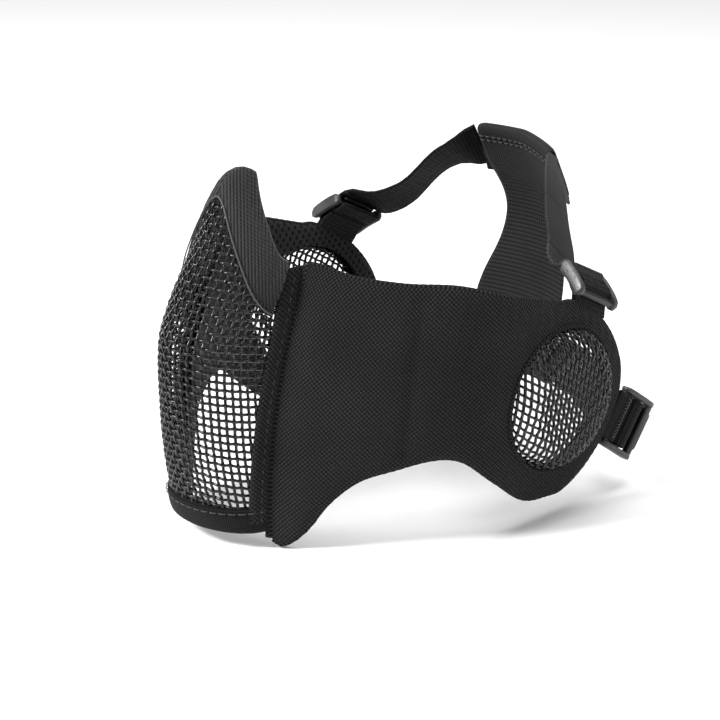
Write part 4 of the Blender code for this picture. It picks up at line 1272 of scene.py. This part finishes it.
def build_buckle(level, pivot, bar, pull, held):
    """Ladder-lock buckle: two curved side rails, three cross bars and a raised lip on the outer bar."""
    face = bar.cross(pull).normalized()
    if face.dot(EAR_NORMAL) < 0:
        face = -face
    shape = Shape()
    bars = [-UP_INNER, 0.0, UP_OUTER] if held else [0.0, BAR_STEP, 2 * BAR_STEP]
    last = (2 - held) * BAR_STEP      # for the rails and the lip; the upper outer bar sits short of it
    for sign in (1, -1):
        rail = pivot + bar * (sign * (BUCKLE_W / 2 - 0.0012))
        side_rail(shape, rail, sign, bar, face, pull, bars[0], last)
    half = bar * (BUCKLE_W / 2 - 0.0016)
    for reach, (wide, tall), rise in zip(bars, BAR_SECTIONS, (0.0, 0.0, 0.0004)):
        centre = pivot + pull * reach + face * rise
        rounded_bar(shape, centre - half, centre + half, face, wide, tall)
    lip = pivot + pull * (last + 0.0014) + face * 0.0012
    rounded_bar(shape, lip - bar * 0.0080, lip + bar * 0.0080, face, 0.0022, 0.0014)
    for name, mirror in SIDES:
        body = f"{name}_{level}_buckle"
        piece = shape.piece(f"{body}_frame", ["plastic", "flank"], body, mirror)
        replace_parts(piece, body)


# ---- the harness --------------------------------------------------------------------------------
PANEL_CURL = 7.5
PANEL_LINE = [(0.0495, 0.0835), (0.0585, 0.0640), (0.0608, 0.0520), (0.0590, 0.0360),
              (0.0530, 0.0200), (0.0500, 0.0080), (0.0480, -0.0160)]
SLEEVE = WEB_W + 0.0016
UPPER_LEFT = [(0.0640, 0.0130, 0.0480), (0.0565, 0.0185, 0.0545),
              (0.0500, 0.0228, 0.0635), (0.0380, 0.0335, 0.0757)]
UPPER_RIGHT = [(-0.0590, 0.0240, 0.0490), (-0.0480, 0.0300, 0.0555), (-0.0370, 0.0400, 0.0695)]
LOWER_SIDE = [(0.0620, 0.0430, -0.0200), (0.0500, 0.0480, -0.0170), (0.0360, 0.0500, -0.0110)]
LAY_LEFT = Vector((-0.30, 0.90, -0.30))
LAY_RIGHT = Vector((-0.50, 0.55, -0.66))
LAY_LOWER = Vector((0, -0.30, -0.95))
TOP_DROOP = 0.0046
PANEL_FULLER, FULLER_Z, FULLER_RUN = 0.0078, 0.018, 0.030   # the tape bulges near the left upper buckle


def droop(x, z):
    """How far the top of the tape hangs down at lateral place x; it fades out below the sleeve."""
    return TOP_DROOP * max(0.0, x / PANEL_HALF_TOP) ** 1.3 * smooth((z - 0.044) / 0.015)


def panel_spot(x, y, z):
    return Vector((x, y - PANEL_CURL * x * x, z - droop(x, z)))


def panel_half(z):
    return spline([(-0.016, PANEL_HALF_LOW), (0.015, PANEL_HALF_LOW), (0.048, PANEL_HALF_WAIST),
                   (0.070, PANEL_HALF_TOP), (0.085, PANEL_HALF_TOP)], z)


def hook(end, inward, turn):
    """Points of a sleeve: the tape's end folded back over the strap, from `end` along `inward`."""
    radius = WEB_T / 2 + PANEL_T / 2 + SLEEVE_GAP
    centre = end + turn * radius
    bend = [centre + (-turn * cos(a) - inward * sin(a)) * radius for a in (pi * k / 8 for k in range(9))]
    run = [bend[-1] + inward * SLEEVE * k / 8 for k in range(1, 9)]
    return bend, run


def panel_profile():
    """Side view (y, z) of the tape: a sleeve at the top, the curved body, a sleeve at the foot."""
    line = [Vector(p) for p in PANEL_LINE]
    keys_y = [(i, p.x) for i, p in enumerate(line)]
    keys_z = [(i, p.y) for i, p in enumerate(line)]
    bent = [lerp(1, len(line) - 2, i / 60) for i in range(61)]
    head = [line[0].lerp(line[1], i / 12) for i in range(12)]
    foot = [line[-2].lerp(line[-1], i / 12) for i in range(1, 13)]
    body = head + [Vector((spline(keys_y, t), spline(keys_z, t))) for t in bent] + foot
    down = (body[1] - body[0]).normalized()
    up = (body[-2] - body[-1]).normalized()
    rear_top, rear_low = Vector((-down.y, down.x)), Vector((up.y, -up.x))
    top_bend, top_run = hook(body[0], down, rear_top)
    low_bend, low_run = hook(body[-1], up, rear_low)
    return list(reversed(top_run)), list(reversed(top_bend)) + body[1:-1] + low_bend, low_run


def panel_ring(point, normal):
    half = panel_half(point.y)
    fuller = half + PANEL_FULLER * smooth(1 - abs(point.y - FULLER_Z) / FULLER_RUN)
    ring, uv = [], []
    for side in (1, -1):
        for k in range(25):
            x = lerp(fuller, -half, (k if side > 0 else 24 - k) / 24)
            edge = 1.0 if 0 < k < 24 else 0.4
            place = panel_spot(x, point.x, point.y)
            ring.append(place + normal * side * (PANEL_T / 2 * edge))
            uv.append(x)
    return ring, uv


def build_back_panel():
    top, middle, low = panel_profile()
    path = top + middle + low
    shape, seam = Shape(), Shape()
    rings, uvs, length = [], [], 0.0
    for i, point in enumerate(path):
        tangent = (path[min(i + 1, len(path) - 1)] - path[max(i - 1, 0)]).normalized()
        normal = Vector((0, -tangent.y, tangent.x))
        length += (point - path[i - 1]).length if i else 0.0
        ring, across = panel_ring(point, normal)
        rings.append(ring)
        uvs.append([(length, x) for x in across])
    shape.rings(rings, uvs)
    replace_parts(shape.piece("back_panel_tape", "panel", "back_panel"), "back_panel")
    first = Vector(PANEL_LINE[0])
    down = (Vector(PANEL_LINE[1]) - first).normalized()
    foot = Vector(PANEL_LINE[-1])
    up = (Vector(PANEL_LINE[-2]) - foot).normalized()
    for start, inward, reach in ((first, down, 0.0018), (first, down, 0.0038),
                                 (foot, up, SLEEVE - 0.0012), (foot, up, SLEEVE + 0.0008)):
        spot = start + inward * reach
        normal = Vector((0, -inward.y, inward.x))
        half = panel_half(spot.y) - 0.0008
        xs = [lerp(-half, half, k / 30) for k in range(31)]
        for face_side in (1, -1):
            line = [panel_spot(x, spot.x, spot.y) + normal * face_side * PANEL_T / 2 for x in xs]
            stitches(seam, line, [normal * face_side] * len(line), 0.0021, 0.0009, 0.00028, 0.0002)
    seam.piece("back_panel_stitches", "thread", "back_panel")


def strap_half(side, centre, bar, pull, keys, end, lay, end_across):
    """Path and width vectors of one strap half: its fold round a buckle bar, then on to `end`."""
    flip = Vector((side, 1, 1))
    centre, axis, away = centre * flip, (bar * flip).normalized(), (pull * flip).normalized()
    across = axis.cross(away) * side
    tail = [centre - across * LOOP_R + away * reach for reach in (0.0050, 0.0025)]
    bend = [centre + (-across * cos(a) - away * sin(a)) * LOOP_R for a in (pi * k / 6 for k in range(7))]
    first = bend[-1] + away * (0.0012 if lay is LAY_LEFT else 0.006)
    run = through([bend[-1], first] + keys + [end], 4)[1:]
    path = tail + bend + run
    widths = []
    for i in range(len(path)):
        t = (i - len(path) + len(run)) / len(run)
        halfway = axis.lerp(lay, smooth(t / 0.45))
        late = 0.5 if side > 0 or lay is LAY_LOWER else 0.80
        widths.append(halfway.lerp(end_across, smooth((t - late) / (0.95 - late))).normalized())
    return path, widths, len(tail) + len(bend)


def sleeve_spot(top, x):
    """Centre line of the strap inside a sleeve of the back panel, at lateral place x."""
    line = PANEL_LINE if top else list(reversed(PANEL_LINE))
    first, second = Vector(line[0]), Vector(line[1])
    inward = (second - first).normalized()
    rear = Vector((-inward.y, inward.x)) if top else Vector((inward.y, -inward.x))
    spot = first + inward * (SLEEVE / 2 + 0.0005) + rear * (PANEL_T / 2 + WEB_T / 2 + SLEEVE_GAP)
    return panel_spot(x, spot.x, spot.y), Vector((0, inward.x, inward.y))


def keys(points, side=1):
    return [Vector((side * x, y, z)) for x, y, z in points]


def chain(name, finish, frames, cuts, bodies):
    """Strap stretches along one path: they ride on a body, or lie unattached between two, and meet end to
    end.

    cuts are path indices between the stretches; bodies names one body or a pair for each stretch.
    """
    for number, (a, b, body) in enumerate(zip(cuts, cuts[1:], bodies)):
        web = ribbon(frames[a:b + 1])
        piece_name = f"{name}_{number + 1}"
        if isinstance(body, str):
            piece = web.piece(piece_name, finish, body)
        else:
            piece = web.piece(piece_name, finish)
            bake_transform(piece)
        yield piece


def index_at(path, start, distance):
    """First index after start whose distance along the path reaches the given one."""
    total = 0.0
    for i in range(start + 1, len(path)):
        total += (path[i] - path[i - 1]).length
        if total >= distance:
            return i
    return len(path) - 1


def build_strap(level, top, routes, lays, centre, bar, pull, finishes):
    node = f"{level}_strap"
    half = panel_half(sleeve_spot(top, 0)[0].z) + 0.002
    across = sleeve_spot(top, 0)[1] * (1 if top else -1)
    for side, name, route, lay, finish in zip((1, -1), ("left", "right"), routes, lays, finishes):
        end = sleeve_spot(top, side * half)[0]
        if top and side < 0:
            end = end + Vector((0, -0.0008, 0.0028))
        path, widths, bend_end = strap_half(side, centre, bar, pull, route, end, lay, across)
        fold = path[bend_end - 1]
        path, widths = finer_path(path, widths)
        slanted = 0.020 if lay is LAY_LEFT else 0.0
        start = min(range(len(path)), key=lambda i: (path[i] - fold).length)
        total = sum((b - a).length for a, b in zip(path[start:], path[start + 1:]))
        shares = (0.06, 0.20, 0.50, 0.76, 1.0) if top else (0.08, 0.24, 0.52, 0.76, 1.0)
        cuts = [0] + [index_at(path, start, total * f) for f in shares]
        bodies = [f"{name}_{level}_buckle", (f"{name}_{level}_buckle", f"{name}_wing"),
                  (f"{name}_wing", "front_shell"), ("front_shell", "harness_yoke"),
                  ("harness_yoke", "back_panel")]
        cuts[-1] = len(path) - 1
        for piece in chain(f"{name}_{node}", finish, strap_frames(path, widths, slanted), cuts, bodies):
            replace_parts(piece, node)
    middle = [sleeve_spot(top, lerp(half, -half, i / 24))[0] for i in range(25)]
    ribbon(strap_frames(middle, [across] * 25)).piece(f"{node}_middle", finishes[1], "back_panel")


def build_harness():
    build_back_panel()
    build_strap("upper", True, (keys(UPPER_LEFT), keys(UPPER_RIGHT)), (LAY_LEFT, LAY_RIGHT),
                UP_PIVOT + UP_PULL * UP_OUTER, UP_BAR, UP_PULL, ("twill", "webbing"))
    build_strap("lower", False, (keys(LOWER_SIDE), keys(LOWER_SIDE, -1)), (LAY_LOWER, LAY_LOWER),
                LOW_PIVOT + LOW_OUT * BAR_STEP, LOW_BAR, -EAR_NORMAL, ("webbing", "webbing"))


CREASE_HALF_T = 0.0012


def build_crease(name, mirror):
    """Folded fabric that joins the front to a wing."""
    shape = Shape()
    rings, uvs = [], []
    for i in range(61):
        z = lerp(wing_limits(SEAM_GAP, 0.0006)[0], wing_limits(SEAM_GAP, 0.0006)[1], i / 60)
        inner = wing_face(SEAM_GAP + 0.0012, z)
        normal = wing_normal(SEAM_GAP + 0.0010, z)
        outer = wing_face(0.0, z)
        front = outer - (inner - outer).normalized() * 0.0006
        wide = (inner - front) / 2
        middle = (inner + front) / 2
        rings.append([middle + wide * cos(a) + normal * sin(a) * CREASE_HALF_T for a in circle(12)])
        uvs.append([(z, 0.0004 * k) for k in range(12)])
    shape.rings(rings, uvs)
    piece = shape.piece(f"{name}_crease", "nylon", mirror=mirror)
    flip = Vector((-1 if mirror else 1, 1, 1))
    start = wing_face(0.0, 0.01) * flip + HOME
    end = wing_face(SEAM_GAP + 0.0010, 0.01) * flip + HOME
    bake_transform(piece)


# ---- studio -------------------------------------------------------------------------------------
def aim(obj, target):
    obj.rotation_euler = (target - obj.location).to_track_quat("-Z", "Y").to_euler()


def area_light(name, spot, target, size, power):
    data = bpy.data.lights.new(name, "AREA")
    data.shape = "DISK"
    data.size = size
    data.energy = power
    obj = new_object(name, data)
    obj.location = spot
    aim(obj, target)


def build_floor():
    mat = bpy.data.materials.new("floor")
    mat.use_nodes = True
    shader = mat.node_tree.nodes["Principled BSDF"]
    shader.inputs["Base Color"].default_value = (0.92, 0.92, 0.92, 1)
    shader.inputs["Roughness"].default_value = 0.9
    mesh = bpy.data.meshes.new("floor")
    mesh.from_pydata([(-6, -6, 0), (6, -6, 0), (6, 6, 0), (-6, 6, 0)], [], [(0, 1, 2, 3)])
    mesh.materials.append(mat)
    floor_object = new_object("floor", mesh)
    floor_object.location.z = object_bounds()[0][2] - 0.0005


VIEW_AZIMUTH, VIEW_ELEVATION, VIEW_DISTANCE = radians(48), radians(18), 1.0
EAR_LEVEL_OFFSET = Vector((0, 0.005, -0.0035))


def build_camera():
    centre = HOME + EAR_LEVEL_OFFSET
    level = Vector((sin(VIEW_AZIMUTH), -cos(VIEW_AZIMUTH), 0)) * cos(VIEW_ELEVATION)
    away = level + Vector((0, 0, sin(VIEW_ELEVATION)))
    data = bpy.data.cameras.new("camera")
    data.sensor_width = 36
    data.lens = 120
    data.shift_x = -80 / 720
    data.shift_y = -2 / 720
    data.clip_end = 20
    camera = new_object("camera", data)
    camera.location = centre + away * VIEW_DISTANCE
    aim(camera, centre)
    bpy.context.scene.camera = camera


def build_light():
    target = HOME
    area_light("key", target + Vector((-0.45, -1.2, 1.0)), target, 0.45, 38)
    area_light("side", target + Vector((1.3, 0.45, 0.75)), target, 0.6, 7)
    area_light("top", target + Vector((0.1, 0.2, 1.6)), target, 1.0, 20)
    world = bpy.data.worlds.new("studio")
    bpy.context.scene.world = world
    world.use_nodes = True
    world.node_tree.nodes["Background"].inputs["Color"].default_value = (1, 1, 1, 1)
    world.node_tree.nodes["Background"].inputs["Strength"].default_value = 0.32
    bpy.context.scene.view_settings.view_transform = "Standard"


def main():
    build_wings()
    build_front_weave()
    build_nose_band()
    build_chin_binding()
    for name, mirror in SIDES:
        build_hem(name, mirror)
        build_crease(name, mirror)
    build_tab("upper", UP_PIVOT, UP_OUT, UP_BAR, UP_TAB)
    build_tab("lower", LOW_PIVOT, LOW_OUT, LOW_BAR, LOW_TAB)
    build_buckle("upper", UP_PIVOT, UP_BAR, UP_PULL, 1)
    build_buckle("lower", LOW_PIVOT, LOW_BAR, LOW_OUT, 0)
    build_harness()
    build_floor()
    build_camera()
    build_light()


main()
